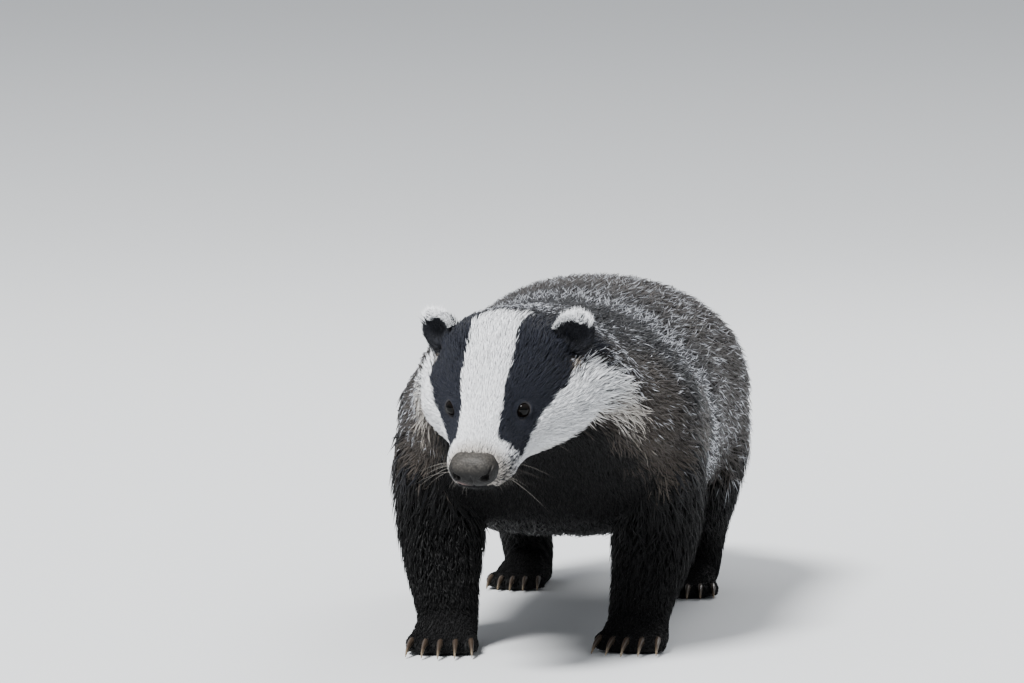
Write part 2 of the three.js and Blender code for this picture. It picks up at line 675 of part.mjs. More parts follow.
// Legs and feet, each leg with its core and the roots of its locks, which grow on its outer side
const limbs = [
  { name: "fore", joints: foreJoints, size: FORE, lockLength: 50 },
  { name: "hind", joints: hindJoints, size: HIND, lockLength: 52 },
].flatMap(({ name, joints, size, lockLength }) =>
  [1, -1].map((side) => {
    const step = side * size.stagger;
    const loft = new Loft(limbStations(joints, step));
    const core = (grow) => mirrored(loft.body(0, loft.last, { sides: 12, steps: 1.4, grow }), side);
    const roots = patch(loft, {
      from: 0.9,
      to: 2.8,
      fromAngle: -80,
      toAngle: 80,
      along: 34,
      across: 26,
      length: lockLength,
      keep: (p) => !inside(p, torsoCore(0, 0)),
    });
    return { name, side, size, step, loft, core, roots };
  }),
);
const legCores = fuse(limbs.map((limb) => limb.core(FLANK_GAP)));
const openRoots = torsoRoots.filter((root) => !inside(flesh.point(root.s, root.angle, "core"), legCores));

const tailLoft = new Loft(limbStations(tailJoints));
const tailRoots = patch(tailLoft, {
  from: 0.7,
  to: tailLoft.last - 0.3,
  fromAngle: 0,
  toAngle: 360,
  along: 34,
  across: 26,
  length: 56,
});

// The pieces, each cut clear of those before it. A lock lies over the neighbour behind it.
const pieces = new Map();

const cheekLocks = fuse(locksOf(flesh, cheekRoots)).subtract(cutting(neckCore));
const cheekCut = fuse(locksOf(flesh, cheekRoots, LOCK_GAP));
const sockets = fuse([1, -1].map((side) => ball(EYE.radius + GAP, side)));
const slits = fuse([1, -1].map((side) => eyeSlit(side)));
const headWhole = fuse([headCore(0, GAP / 2), lids(1), lids(-1), cheekLocks]);
const mouthCut = mouthSlit(headCore(-MOUTH.deep, 0));
pieces.set("head", headWhole.subtract(sockets).subtract(slits).subtract(mouthCut));
pieces.set("nose", nosePad().subtract(cutting(headCore)));

const besideNeck = fuse([cutting(headCore), cutting(torsoCore), cheekCut]);
const neckLocks = fuse(locksOf(flesh, neckRoots)).subtract(besideNeck);
const neckCut = fuse(locksOf(flesh, neckRoots, LOCK_GAP));
pieces.set("neck", fuse([neckCore(0, GAP / 2), neckLocks]).subtract(trailing(pieces.get("head"))));

const besideTorso = fuse([legCores, cutting(neckCore), neckCut]);
const torsoLocks = fuse(locksOf(flesh, openRoots)).subtract(besideTorso);
const torsoCut = fuse([cutting(torsoCore), ...locksOf(flesh, openRoots, LOCK_GAP)]);
pieces.set("torso", fuse([torsoCore(0, GAP / 2), torsoLocks]));

const bodyCut = fuse([torsoCut, cutting(neckCore), neckCut]);
for (const { name, side, size, step, loft, core, roots } of limbs) {
  const label = side > 0 ? "left" : "right";
  const locks = locksOf(loft, roots).map((lock) => mirrored(lock, side));
  const leg = fuse([core(0), ...locks]).subtract(bodyCut);
  pieces.set(`${name}leg_${label}`, leg.trimByPlane([0, 0, 1], size.wrist + GAP / 2));
  const paw = fuse([mirrored(foot(size, step), side), core(0)]).trimByPlane([0, 0, 1], 0);
  pieces.set(`${name}paw_${label}`, paw.trimByPlane([0, 0, -1], GAP / 2 - size.wrist));
}

const tailCore = tailLoft.body(0, tailLoft.last, { sides: 10, steps: 1.5 });
const rumpCut = fuse([torsoCore(4 * GAP, -2 * GAP), trailing(pieces.get("torso"))]);
const tailWhole = fuse([tailCore, ...locksOf(tailLoft, tailRoots)]);
pieces.set("tail", tailWhole.subtract(torsoCut).subtract(rumpCut));

const earCut = fuse([cutting(headCore), cutting(neckCore), cheekCut, neckCut]);
for (const side of [1, -1]) {
  const label = side > 0 ? "left" : "right";
  pieces.set(`ear_${label}`, ear(side).subtract(earCut));
  pieces.set(`eye_${label}`, ball(EYE.radius, side));
}

// Colours and finishes

const FINISHES = {
  white_face: new THREE.MeshStandardMaterial({ color: 0xe9ecef, roughness: 0.85, metalness: 0 }),
  grey_coat: new THREE.MeshStandardMaterial({ color: 0x77746f, roughness: 0.9, metalness: 0 }),
  black_coat: new THREE.MeshStandardMaterial({ color: 0x1b1b1f, roughness: 0.85, metalness: 0 }),
  nose_skin: new THREE.MeshStandardMaterial({ color: 0x4b4a47, roughness: 0.45, metalness: 0 }),
  eye: new THREE.MeshStandardMaterial({ color: 0x0b0908, roughness: 0.08, metalness: 0 }),
};
const finishOf = (name) => {
  if (name.startsWith("eye")) return FINISHES.eye;
  if (name === "nose") return FINISHES.nose_skin;
  if (name === "head") return FINISHES.white_face;
  return ["torso", "neck", "tail"].includes(name) ? FINISHES.grey_coat : FINISHES.black_coat;
};

const badger = new THREE.Group();
for (const [name, body] of pieces) {
  const mesh = new THREE.Mesh(geometryOf(cleaned(body)), finishOf(name));
  mesh.name = name;
  badger.add(mesh);
}

// The origin goes on the floor, under the middle of the whole animal's box
const box = new THREE.Box3().setFromObject(badger);
const middle = box.getCenter(point(0, 0, 0));
badger.children.forEach((mesh) => mesh.geometry.translate(-middle.x, -middle.y, -box.min.z));

export default badger;
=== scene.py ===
"""A European badger, life size: one skin, its coat as mesh tufts, and its eyes, nose, claws and whiskers.

Shapes are worked out in millimetres, counted back from the tip of the nose, with the soles at height 0.
They are moved into the frame, in metres, as each mesh is written.
"""

import math

import bpy
import numpy as np
from mathutils import Matrix, Vector
from mathutils.bvhtree import BVHTree
from mathutils.kdtree import KDTree

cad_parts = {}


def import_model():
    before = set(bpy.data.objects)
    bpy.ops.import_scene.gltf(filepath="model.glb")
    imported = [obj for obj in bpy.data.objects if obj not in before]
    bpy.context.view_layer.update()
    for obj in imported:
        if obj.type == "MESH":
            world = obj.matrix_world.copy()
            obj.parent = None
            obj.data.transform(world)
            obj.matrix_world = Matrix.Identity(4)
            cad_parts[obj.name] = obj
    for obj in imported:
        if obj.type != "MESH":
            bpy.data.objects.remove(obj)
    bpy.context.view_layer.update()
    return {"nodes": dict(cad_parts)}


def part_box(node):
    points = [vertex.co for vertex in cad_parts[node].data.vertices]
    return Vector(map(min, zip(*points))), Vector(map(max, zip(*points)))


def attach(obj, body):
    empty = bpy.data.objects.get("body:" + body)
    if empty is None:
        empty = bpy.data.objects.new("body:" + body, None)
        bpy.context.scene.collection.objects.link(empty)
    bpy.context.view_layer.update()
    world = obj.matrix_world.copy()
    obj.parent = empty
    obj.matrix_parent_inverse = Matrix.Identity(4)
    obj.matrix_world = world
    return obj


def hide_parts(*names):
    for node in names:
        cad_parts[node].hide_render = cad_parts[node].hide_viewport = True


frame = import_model()
bpy.ops.object.select_all(action="DESELECT")
draw = np.random.default_rng(20257)

# Pose, as the solids have it
NOSE_HEIGHT = 150
HEAD_PITCH = 35
HEAD_TURN = -8
TURN_STARTS = 150
TURN_ENDS = 190
HEAD_ENDS_BACK = 105

# Face
EYE = dict(along=57, angle=38, radius=6.3, showing=2.6, lid=1.5, slit_wide=5.9, slit_tall=4.7)
NOSE = dict(half_wide=18.5, half_tall=12.5, half_deep=11, back=8.5, level=0.5)
NOSTRIL = dict(aside=10.4, level=0.4, radius=2.9, deep=5)
MOUTH = dict(front=-14.5, corner=-15.5, length=50)
EAR = dict(aside=51, along=126, up=30.5, half_wide=15.5, half_tall=15.5, half_thick=8, cup=0.8, cup_deep=1.4)

# Feet: the sole's middle, how far one foot is ahead of the other, and the half sizes of the sole
FORE = dict(out=70, back=192, stagger=16, claw=26, toe_wide=10.4, palm=(26, 30, 17), turn=-4)
HIND = dict(out=70, back=548, stagger=-14, claw=14, toe_wide=9.2, palm=(22, 42, 15), turn=4)
TOES = 5
# A toe's half sizes as shares of its width, and what the coat takes off them
TOE = (0.58, 1.3, 0.8)
TOE_COAT = (0.9, 1, 1.2)

# The coat's depth and the length of its hair, where they don't change
FOOT_COAT = 1.5
FOOT_HAIR = 6
EAR_COAT = 0.8
EAR_HAIR = 6

# The skin: the voxel in metres that joins the lengths of the body, the share of its faces left under the
# long coat past these places, and the two steps of finer faces, by radius at the eyes and width at the lips
VOXEL = 0.002
THINNED = dict(along=150, back=190, above=52, ratio=0.42)
REFINED = ((19, 5), (15, 3.2))


def unit(v):
    """Vectors of length 1, along the last axis."""
    return v / np.maximum(np.linalg.norm(v, axis=-1, keepdims=True), 1e-9)


def smooth(low, high, x):
    """A smooth step from 0 at low to 1 at high, which may also be the smaller."""
    t = np.clip((np.asarray(x, float) - low) / (high - low), 0, 1)
    return t * t * (3 - 2 * t)


def hump(x, middle, radius):
    """A bell of height 1 at the middle."""
    return np.exp(-(((x - middle) / radius) ** 2))


def boxy(v, power):
    """Rounds a box's side: a ball's at 1, and squarer below it."""
    return np.sign(v) * np.abs(v) ** power


def edge(x, table):
    """A value at each x, on straight lines through a table of pairs."""
    return np.interp(x, *zip(*table))


# Frames


def moved(x, y, z):
    """A shift as a matrix."""
    return Matrix.Translation((x, y, z))


def spun(degrees, axis):
    """A turn about an axis as a matrix."""
    return Matrix.Rotation(math.radians(degrees), 4, axis)


def turned(share):
    """The bend of the neck to the animal's right, from nothing at 0 to all of it at 1."""
    return moved(0, TURN_STARTS, 0) @ spun(HEAD_TURN * share, "Z") @ moved(0, -TURN_STARTS, 0)


# The head's own frame: x to its left, y back along its axis from the nose, z out of its crown
HEAD = turned(1) @ moved(0, 0, NOSE_HEIGHT) @ spun(HEAD_PITCH, "X")
MIRROR = HEAD @ Matrix.Diagonal((-1, 1, 1, 1)) @ HEAD.inverted()
PAD_FRAME = HEAD @ moved(0, NOSE["back"], NOSE["level"])


def apply(matrix, points):
    """A 4 by 4 matrix on an array of points."""
    m = np.array(matrix)
    return np.asarray(points, float) @ m[:3, :3].T + m[:3, 3]


def ways(matrix, directions):
    """A matrix on directions instead of points."""
    return apply(matrix, directions) - apply(matrix, np.zeros((1, 3)))


def in_head(x, along, up):
    """A point given in the head's frame."""
    return np.array(HEAD @ Vector((x, along, up)))


def head_axis(x, along, up):
    """A direction given in the head's frame."""
    return unit(in_head(x, along, up) - in_head(0, 0, 0))


def head_places(points):
    """Millimetres in the head's own frame."""
    return apply(HEAD.inverted(), points)


def framed(x, y, z, centre):
    """A frame from its three axes and its origin."""
    return Matrix([*zip(x, y, z, centre), (0, 0, 0, 1)])


def facing(centre, out, along):
    """A frame with z out of a surface and x as near as it can be to a direction."""
    x = unit(along - out * np.dot(along, out))
    return framed(x, np.cross(out, x), out, centre)


def on_side(matrix, side):
    """The left side's frame, or its mirror image on the head's right."""
    return matrix if side > 0 else MIRROR @ matrix


# Lofts: a body's skin as sections along a line

# The columns of a section
CENTRE, ACROSS, UP = slice(0, 3), slice(3, 6), slice(6, 9)
WIDE, RISE, DROP, SQUARE_TOP, SQUARE_LOW, DEPTH, BELLY, LENGTH = range(9, 17)


def station(matrix, centre, half_wide, rise, drop, square, coat, hair, belly=1.0):
    """One section, from the axes of a frame, its sizes, and the coat's share left under the belly."""
    m = np.array(matrix)
    return np.concatenate([centre, m[:3, 0], m[:3, 2], (half_wide, rise, drop, *square, coat, belly, hair)])


class Loft:
    """Sections along a line. A place s along it is a whole number at each station."""

    def __init__(self, stations, reliefs=()):
        self.rows = np.array(stations)
        self.last = len(stations) - 1
        self.reliefs = reliefs

    def section(self, s):
        """What a station holds, at any s, on a smooth curve through the stations."""
        at = np.clip(np.atleast_1d(s).astype(float), 0, self.last)
        i = np.minimum(np.floor(at).astype(int), self.last - 1)
        t = (at - i)[:, None]
        a, b, c, d = (self.rows[np.clip(i + k, 0, self.last)] for k in (-1, 0, 1, 2))
        return b + 0.5 * t * (c - a + t * (2 * a - 5 * b + 4 * c - d + t * (3 * (b - c) + d - a)))

    def coat(self, s, angle):
        """The depth of the coat and the length of its hair, both shorter under the belly."""
        row = self.section(s)
        under = 1 - (1 - row[:, BELLY]) * np.maximum(0, -np.sin(angle)) ** 2
        return row[:, DEPTH] * under, row[:, LENGTH] * (0.3 + 0.7 * under)

    def lie(self, s, angle, sweep):
        """The direction of the hair: along the loft, and downwards by the sweep."""
        s = np.minimum(s, self.last - 0.03)
        # The hair sweeps down from the shoulders on
        fall = sweep * (0.06 + 0.94 * smooth(11.5, 14.5, s))
        ahead = self.point(s + 0.02, angle - 0.02 * fall * np.cos(angle))
        return unit(ahead - self.point(s - 0.01, angle))

    def point(self, s, angle):
        """Points at an angle round the section: 0 is the left side and a quarter turn is the back."""
        row = self.section(s)
        c, n = np.cos(angle), np.sin(angle)
        power = 2 / np.where(n > 0, row[:, SQUARE_TOP], row[:, SQUARE_LOW])
        wide = boxy(c, power) * row[:, WIDE]
        high = boxy(n, power) * np.where(n > 0, row[:, RISE], row[:, DROP])
        out = unit(row[:, ACROSS]) * wide[:, None] + unit(row[:, UP]) * high[:, None]
        p = row[:, CENTRE] + out
        lift = np.zeros(len(p))
        for at, radius, height in self.reliefs:
            lift += height * np.exp(-((p - at) ** 2).sum(1) / (2 * radius**2))
        return p + unit(out) * lift[:, None]


# Along the head's axis: level of the widest place, half width, top and bottom from the axis, then the
# depth of the coat and the length of its hair
HEAD_SECTIONS = [
    (5, -4, 12, 7, -14, 1.2, 2.5),
    (9, -5, 17.5, 11, -18, 1.5, 3.5),
    (18, -6, 20.5, 14, -21, 1.8, 5),
    (30, -6, 23, 17, -24, 2, 6),
    (43, -5, 27, 21, -27, 2.2, 7),
    (57, -4, 35, 28, -31, 2.5, 7),
    (74, -6, 46, 37, -37, 4, 8.5),
    (94, -10, 57, 43, -43, 5, 11),
    (117, -12, 62, 48, -48, 7, 17),
]

# Along the trunk: distance back, tilt, level of the widest place, half width, skin heights, coat, hair
# and squareness
BODY_SECTIONS = [
    (118, 20, 210, 71, 257, 170, 12, 30, 1.9),
    (152, 10, 190, 80, 253, 142, 14, 36, 1.8),
    (200, 2, 172, 96, 248, 103, 16, 42, 1.75),
    (255, 0, 164, 103, 246, 88, 16, 46, 1.8),
    (325, 0, 159, 101, 247, 82, 16, 48, 1.95),
    (400, 0, 158, 102, 249, 78, 16, 48, 2.1),
    (475, 0, 160, 103, 248, 80, 16, 48, 2.15),
    (545, 0, 164, 98, 241, 88, 16, 46, 2.15),
    (600, -4, 166, 80, 226, 106, 16, 42, 2.1),
    (638, -8, 168, 50, 203, 130, 16, 36, 2),
    (652, -10, 169, 25, 188, 150, 15, 30, 2),
    (660, -10, 169, 5, 173, 165, 10, 26, 2),
]

# Forms that the sections don't give: aside, along or back, up, radius and height
HEAD_RELIEFS = [
    (25, 50, 15, 7, -2.5),
    (21, 66, 27, 9, 2.5),
    (46, 84, -2, 15, 3),
    (18, 24, -9, 8, 3.2),
    (21, 40, 8, 9, -2.2),
    (17, 42, -20, 8, 1.5),
    (54, 117, 21, 15, -8),
]
BODY_RELIEFS = [(88, 225, 180, 32, 5), (84, 548, 165, 42, 7), (98, 440, 130, 38, -4)]

# Down the limbs and the tail: place, then half sizes across, to the front and behind, coat and hair
FORE_JOINTS = [
    ((68, 226, 196), 30, 38, 38, 14, 40),
    ((76, 228, 150), 31, 38, 40, 13, 36),
    ((80, 233, 112), 29, 32, 34, 10, 28),
    ((80, 229, 80), 27, 25, 28, 8, 21),
    ((76, 216, 50), 23, 21, 23, 5, 14),
    ((71, 207, 25), 21, 20, 20, 3, 9),
    ((70, 203, 9), 20, 19, 18, 3, 7),
]
HIND_JOINTS = [
    ((58, 550, 190), 30, 50, 46, 14, 42),
    ((70, 546, 148), 34, 54, 50, 13, 38),
    ((77, 544, 112), 28, 45, 44, 11, 30),
    ((78, 556, 80), 22, 29, 31, 8, 22),
    ((74, 573, 50), 18, 20, 21, 5, 14),
    ((71, 577, 26), 18, 20, 18, 3, 9),
    ((70, 574, 9), 17, 22, 16, 3, 7),
]
TAIL_JOINTS = [
    ((0, 618, 208), 21, 19, 19, 9, 38),
    ((0, 650, 196), 19, 18, 18, 11, 46),
    ((0, 678, 172), 16, 15, 15, 12, 52),
    ((0, 697, 138), 13, 12, 12, 12, 50),
    ((0, 706, 104), 9, 9, 9, 12, 38),
    ((0, 709, 84), 4, 4, 4, 11, 26),
]

# A foot above its sole, from heel to toes: distance forward, half width and height, as shares
FOOT_SHAPE = [
    (-0.95, 0.6, 1.3),
    (-0.5, 0.84, 1.9),
    (0, 0.95, 1.9),
    (0.45, 1, 1.35),
    (0.85, 0.96, 0.85),
    (1, 0.88, 0.5),
]


def trunk():
    """The one loft of head, neck and body."""
    rows = []
    for along, level, half_wide, top, bottom, coat, hair in HEAD_SECTIONS:
        sizes = (half_wide, top - level, level - bottom, (2.1, 2.1), coat, hair)
        rows.append(station(HEAD, in_head(0, along, level), *sizes))
    for back, tilt, level, half_wide, top, bottom, coat, hair, square in BODY_SECTIONS:
        share = min(max((TURN_ENDS - back) / (TURN_ENDS - HEAD_ENDS_BACK), 0), 1)
        matrix = turned(share)
        centre = np.array(matrix @ Vector((0, back, level)))
        slant = math.cos(math.radians(tilt))
        sizes = (half_wide, (top - level) / slant, (level - bottom) / slant, (square, 2.5), coat, hair, 0.5)
        rows.append(station(matrix @ spun(tilt, "X"), centre, *sizes))
    reliefs = []
    for side in (1, -1):
        for aside, along, up, radius, height in HEAD_RELIEFS:
            reliefs.append((in_head(side * aside, along, up), radius, height))
        for aside, back, up, radius, height in BODY_RELIEFS:
            reliefs.append((np.array((side * aside, back, up)), radius, height))
    return Loft(rows, reliefs)


def limb(joints, step=0.0, side=1):
    """A tube along a line of joints. The step moves its lower end forward or back."""
    count = len(joints) - 1
    centres = np.array([np.array(at) + (0, step * i / count, 0) for i, (at, *_) in enumerate(joints)])
    rows = []
    for i, (_, across, front, behind, coat, hair) in enumerate(joints):
        line = unit(centres[min(i + 1, count)] - centres[max(i - 1, 0)])
        ahead = unit(np.cross(line, (1, 0, 0)))
        sizes = (across, front, behind, 2.2, 2.2, coat, 1, hair)
        rows.append(np.concatenate([centres[i] * (side, 1, 1), (side, 0, 0), ahead, sizes]))
    return Loft(rows)


def foot_frame(foot, step, side):
    """A frame on the floor under a foot, y to its heel, mirrored on the animal's right."""
    sole = moved(foot["out"], foot["back"] + step, 0) @ spun(foot["turn"], "Z")
    return Matrix.Diagonal((side, 1, 1, 1)) @ sole


def foot_loft(foot, sole):
    """The foot over its flat sole, with the coat's depth taken off its sides and top."""
    half_wide, half_long, half_tall = foot["palm"]
    rows = []
    for ahead, wide, high in FOOT_SHAPE:
        centre = np.array(sole @ Vector((0, -ahead * half_long, half_tall * 0.45)))
        sizes = (wide * half_wide - FOOT_COAT, (high - 0.45) * half_tall - FOOT_COAT, half_tall * 0.45)
        rows.append(station(sole, centre, *sizes, (2.2, 3), 2.5, FOOT_HAIR))
    return Loft(rows)


def toe_frames(foot, sole):
    """How far each toe is from the middle one, and where it sits."""
    wide = foot["toe_wide"]
    for i in range(TOES):
        fan = i - (TOES - 1) / 2
        reach = foot["palm"][1] * 0.86 - 1.9 * fan * fan
        yield fan, sole @ moved(fan * wide * 1.02, -reach, wide * 0.72) @ spun(3.5 * fan, "Z")


# The places of the eyes, which also tie these measures to the frame

flesh = trunk()
HEAD_ALONGS = [row[0] for row in HEAD_SECTIONS]


def face_point(along, angle):
    """A point of the head's skin, by its place along the head and its angle round it in degrees."""
    s = np.interp(along, HEAD_ALONGS, np.arange(len(HEAD_ALONGS)))
    return flesh.point(np.array([s]), np.array([math.radians(angle)]))[0]


def eye_frame():
    """The left eye's frame: z is its gaze and x runs along its slit."""
    p = face_point(EYE["along"], EYE["angle"])
    back = face_point(EYE["along"] + 2, EYE["angle"]) - p
    over = face_point(EYE["along"], EYE["angle"] + 3) - p
    out = unit(np.cross(over, back))
    if np.dot(out, p - in_head(0, EYE["along"], 0)) < 0:
        out = -out
    gaze = unit(out + 0.35 * head_axis(0, -1, 0))
    return facing(p + gaze * (EYE["showing"] - EYE["radius"]), gaze, head_axis(0, 1, 0.35))


EYE_FRAME = eye_frame()
eye_low, eye_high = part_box("eye_left")
SHIFT = np.array(eye_low + eye_high) * 500 - np.array(EYE_FRAME.translation)
SHIFT[2] = 0


def world(points):
    """Millimetres from the nose to metres in the frame."""
    return (np.asarray(points, float) + SHIFT) / 1000


def local(points):
    """Metres in the frame to millimetres from the nose."""
    return np.asarray(points, float) * 1000 - SHIFT


# Meshes


def array(items, key, kind=np.float32, width=3):
    """One attribute of all the items of a mesh."""
    flat = np.empty(len(items) * width, kind)
    items.foreach_get(key, flat)
    return flat.reshape(-1, width)


def places(obj):
    """A mesh's vertices as an array."""
    return array(obj.data.vertices, "co").astype(float)


def vertex_normals(obj):
    """The directions out of a mesh at its vertices, as an array."""
    return array(obj.data.vertex_normals, "vector").astype(float)


def place(obj, points):
    """Moves a mesh's vertices to new places, in metres."""
    obj.data.vertices.foreach_set("co", np.asarray(points, np.float32).ravel())
    obj.data.update()


def only(obj):
    """Selects one object and makes it active."""
    bpy.ops.object.select_all(action="DESELECT")
    obj.select_set(True)
    bpy.context.view_layer.objects.active = obj


def edit(obj, step):
    """Runs a step in edit mode on all of an object."""
    only(obj)
    bpy.ops.object.mode_set(mode="EDIT")
    bpy.ops.mesh.select_all(action="SELECT")
    step()
    bpy.ops.object.mode_set(mode="OBJECT")


def ball(name, segments, rings):
    """A new sphere of radius 1, and its points."""
    bpy.ops.mesh.primitive_uv_sphere_add(segments=segments, ring_count=rings, radius=1)
    obj = bpy.context.object
    obj.name = name
    return obj, places(obj)


def settle(obj, points):
    """Moves a mesh's points to their places in the frame and turns its faces outwards."""
    place(obj, world(points))
    edit(obj, lambda: bpy.ops.mesh.normals_make_consistent(inside=False))
    return obj


def join(objects, name):
    """Joins objects into one."""
    only(objects[0])
    for obj in objects:
        obj.select_set(True)
    bpy.ops.object.join()
    joined = bpy.context.object
    joined.name = joined.data.name = name
    return joined


def modify(obj, kind, **settings):
    """Adds a modifier and applies it."""
    only(obj)
    modifier = obj.modifiers.new(kind.lower(), kind)
    for key, value in settings.items():
        setattr(modifier, key, value)
    bpy.ops.object.modifier_apply(modifier=modifier.name)


def finish(obj, material):
    """Completes a piece: its material, smooth faces and its ride on the body."""
    obj.data.materials.clear()
    obj.data.materials.append(material)
    obj.data.shade_smooth()
    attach(obj, "root")


def wrapped(loft, rings, sides):
    """A sphere drawn out along a loft, ring by ring, with its poles in the middle of the two ends."""
    obj, p = ball("length", sides, rings + 1)
    lap = np.round(np.arccos(np.clip(p[:, 2], -1, 1)) / math.pi * (rings + 1)).astype(int)
    s = np.clip((lap - 1) / (rings - 1), 0, 1) * loft.last
    points = loft.point(s, np.arctan2(p[:, 1], p[:, 0]))
    for pole, end in ((0, 1), (rings + 1, rings)):
        points[lap == pole] = points[lap == end].mean(0)
    return settle(obj, points)


# Limbs, each with its foot and the frame of its sole

LIMBS = []
for joints, foot in ((FORE_JOINTS, FORE), (HIND_JOINTS, HIND)):
    for side in (1, -1):
        step = side * foot["stagger"]
        LIMBS.append((limb(joints, step, side), foot, foot_frame(foot, step, side)))
tail = limb(TAIL_JOINTS)


def ear_frame(side):
    """An ear's frame: x to the crown, y out of its cup and z to its tip."""
    tall = head_axis(0.32, 0.5, 0.8)
    cup = head_axis(0.35, -0.92, 0.2)
    cup = unit(cup - tall * np.dot(cup, tall))
    centre = in_head(EAR["aside"], EAR["along"], EAR["up"])
    return on_side(framed(np.cross(cup, tall), cup, tall, centre), side)


def ear_flap(side):
    """A rounded flap whose front is hollowed to a cup, inside the ear by the depth of its fur."""
    obj, p = ball("ear", 40, 28)
    wide, tall, thick = (EAR[key] - EAR_COAT for key in ("half_wide", "half_tall", "half_thick"))
    # The sphere's poles point out of the cup and out of the back
    x, z, y = p.T
    r = np.hypot(x, z)
    hollow = np.sqrt(np.maximum(0, 1 - (r / EAR["cup"]) ** 2))
    bowl = EAR["half_thick"] * 0.95 - thick * EAR["cup_deep"] * hollow
    front = np.minimum(thick * y, np.where(r < EAR["cup"], bowl, thick))
    y = np.where(y > 0, front, thick * y)
    return settle(obj, apply(ear_frame(side), np.stack([x * wide, y, z * tall], 1)))


def refine(obj, chosen):
    """Cuts every face whose corners are all chosen into four."""
    only(obj)
    bpy.ops.object.mode_set(mode="EDIT")
    bpy.ops.mesh.select_all(action="DESELECT")
    bpy.ops.object.mode_set(mode="OBJECT")
    obj.data.vertices.foreach_set("select", chosen)
    bpy.ops.object.mode_set(mode="EDIT")
    bpy.ops.mesh.select_mode(type="VERT")
    bpy.ops.mesh.subdivide(number_cuts=1, smoothness=0)
    bpy.ops.object.mode_set(mode="OBJECT")


def near_eyes(points, radius):
    """Which points are within a radius of the middle of an eye."""
    near = np.zeros(len(points), bool)
    for side in (1, -1):
        centre = np.array(on_side(EYE_FRAME, side).translation)
        near |= np.linalg.norm(points - centre, axis=1) < radius
    return near


def mouth_drop(head):
    """How far a point of the head is above the line of the mouth, and how much the line counts there."""
    share = np.clip(head[:, 1] / MOUTH["length"], 0, 1)
    line = MOUTH["front"] + (MOUTH["corner"] - MOUTH["front"]) * share - 6 * share * (1 - share)
    return head[:, 2] - line, smooth(MOUTH["length"] + 4, MOUTH["length"] - 6, head[:, 1])


def slit(x, y):
    """How far a place in the eye's frame is from its middle: 1 at the edge of the almond slit."""
    r = np.sqrt((x / EYE["slit_wide"]) ** 2 + (y / EYE["slit_tall"]) ** 2)
    # The inner corner is drawn out to a point, forward and down
    corner = np.arctan2(y + 1.2, -x)
    return r * (1 - 0.2 * hump(corner, 0, 0.42))


def shape_lids(points):
    """Thin lids that follow each eyeball out of the face round an almond slit, and dip behind it inside."""
    for side in (1, -1):
        matrix = on_side(EYE_FRAME, side)
        q = apply(matrix.inverted(), points)
        x, y, z = q.T
        r = slit(x, y)
        wide = np.hypot(x, y)
        reach = EYE["radius"] + 0.5 + (EYE["lid"] - 0.5) * smooth(0.95, 1.4, r) + 0.35 * (y > 0)
        dome = np.sqrt(np.maximum(reach**2 - wide**2, 0.01))
        lid = 0.5 * (z + dome + np.sqrt((z - dome) ** 2 + 0.8))
        # A crease over the upper lid
        lid -= 0.55 * hump(wide, 8.6, 0.7) * smooth(-1, 3, y)
        inner = EYE["radius"] - 3.2
        wanted = inner + (lid - inner) * smooth(0.92, 1.05, r)
        q[:, 2] = z + (wanted - z) * smooth(2.6, 1.8, r) * (z > -2)
        points = apply(matrix, q)
    return points


def shape_mouth(points, normals):
    """The line of the mouth, pressed in, with full lips above and below it."""
    head = head_places(points)
    gap, weight = mouth_drop(head)
    front = weight * (head[:, 1] < MOUTH["length"] + 6) * (head[:, 2] < 0)
    depth = 2.2 * hump(gap, 0, 0.9) - 0.7 * hump(gap, 2.6, 1.5) - 0.6 * hump(gap, -2.4, 1.3)
    return points - normals * (depth * front)[:, None]


def skin():
    """The lengths of the body joined by voxels, thinned under the long coat, finer at the eyes and lips."""
    lengths = [wrapped(flesh, 150, 96), wrapped(tail, 40, 32)]
    for loft, foot, sole in LIMBS:
        lengths += [wrapped(loft, 40, 40), wrapped(foot_loft(foot, sole), 24, 32)]
        halves = np.array(TOE) * foot["toe_wide"] - TOE_COAT
        for _, toe in toe_frames(foot, sole):
            obj, p = ball("toe", 16, 10)
            lengths.append(settle(obj, apply(toe, p * halves)))
    body = join(lengths + [ear_flap(1), ear_flap(-1)], "skin")
    modify(body, "REMESH", mode="VOXEL", voxel_size=VOXEL)
    modify(body, "SMOOTH", factor=0.5, iterations=4)
    points = local(places(body))
    hidden = (head_places(points)[:, 1] > THINNED["along"]) | (points[:, 1] > THINNED["back"])
    hidden &= points[:, 2] > THINNED["above"]
    group = body.vertex_groups.new(name="long coat")
    group.add(np.nonzero(hidden)[0].tolist(), 1.0, "REPLACE")
    modify(body, "DECIMATE", ratio=THINNED["ratio"], vertex_group=group.name, use_collapse_triangulate=True)
    body.vertex_groups.clear()
    for radius, width in REFINED:
        points = local(places(body))
        head = head_places(points)
        gap, weight = mouth_drop(head)
        lips = (np.abs(gap) < width) & (weight > 0) & (head[:, 1] < MOUTH["length"] + 10) & (head[:, 2] < 0)
        refine(body, near_eyes(points, radius) | lips)
    points = shape_lids(local(places(body)))
    place(body, world(points))
    place(body, world(shape_mouth(points, vertex_normals(body))))
    return body


# Nose, eyes and claws


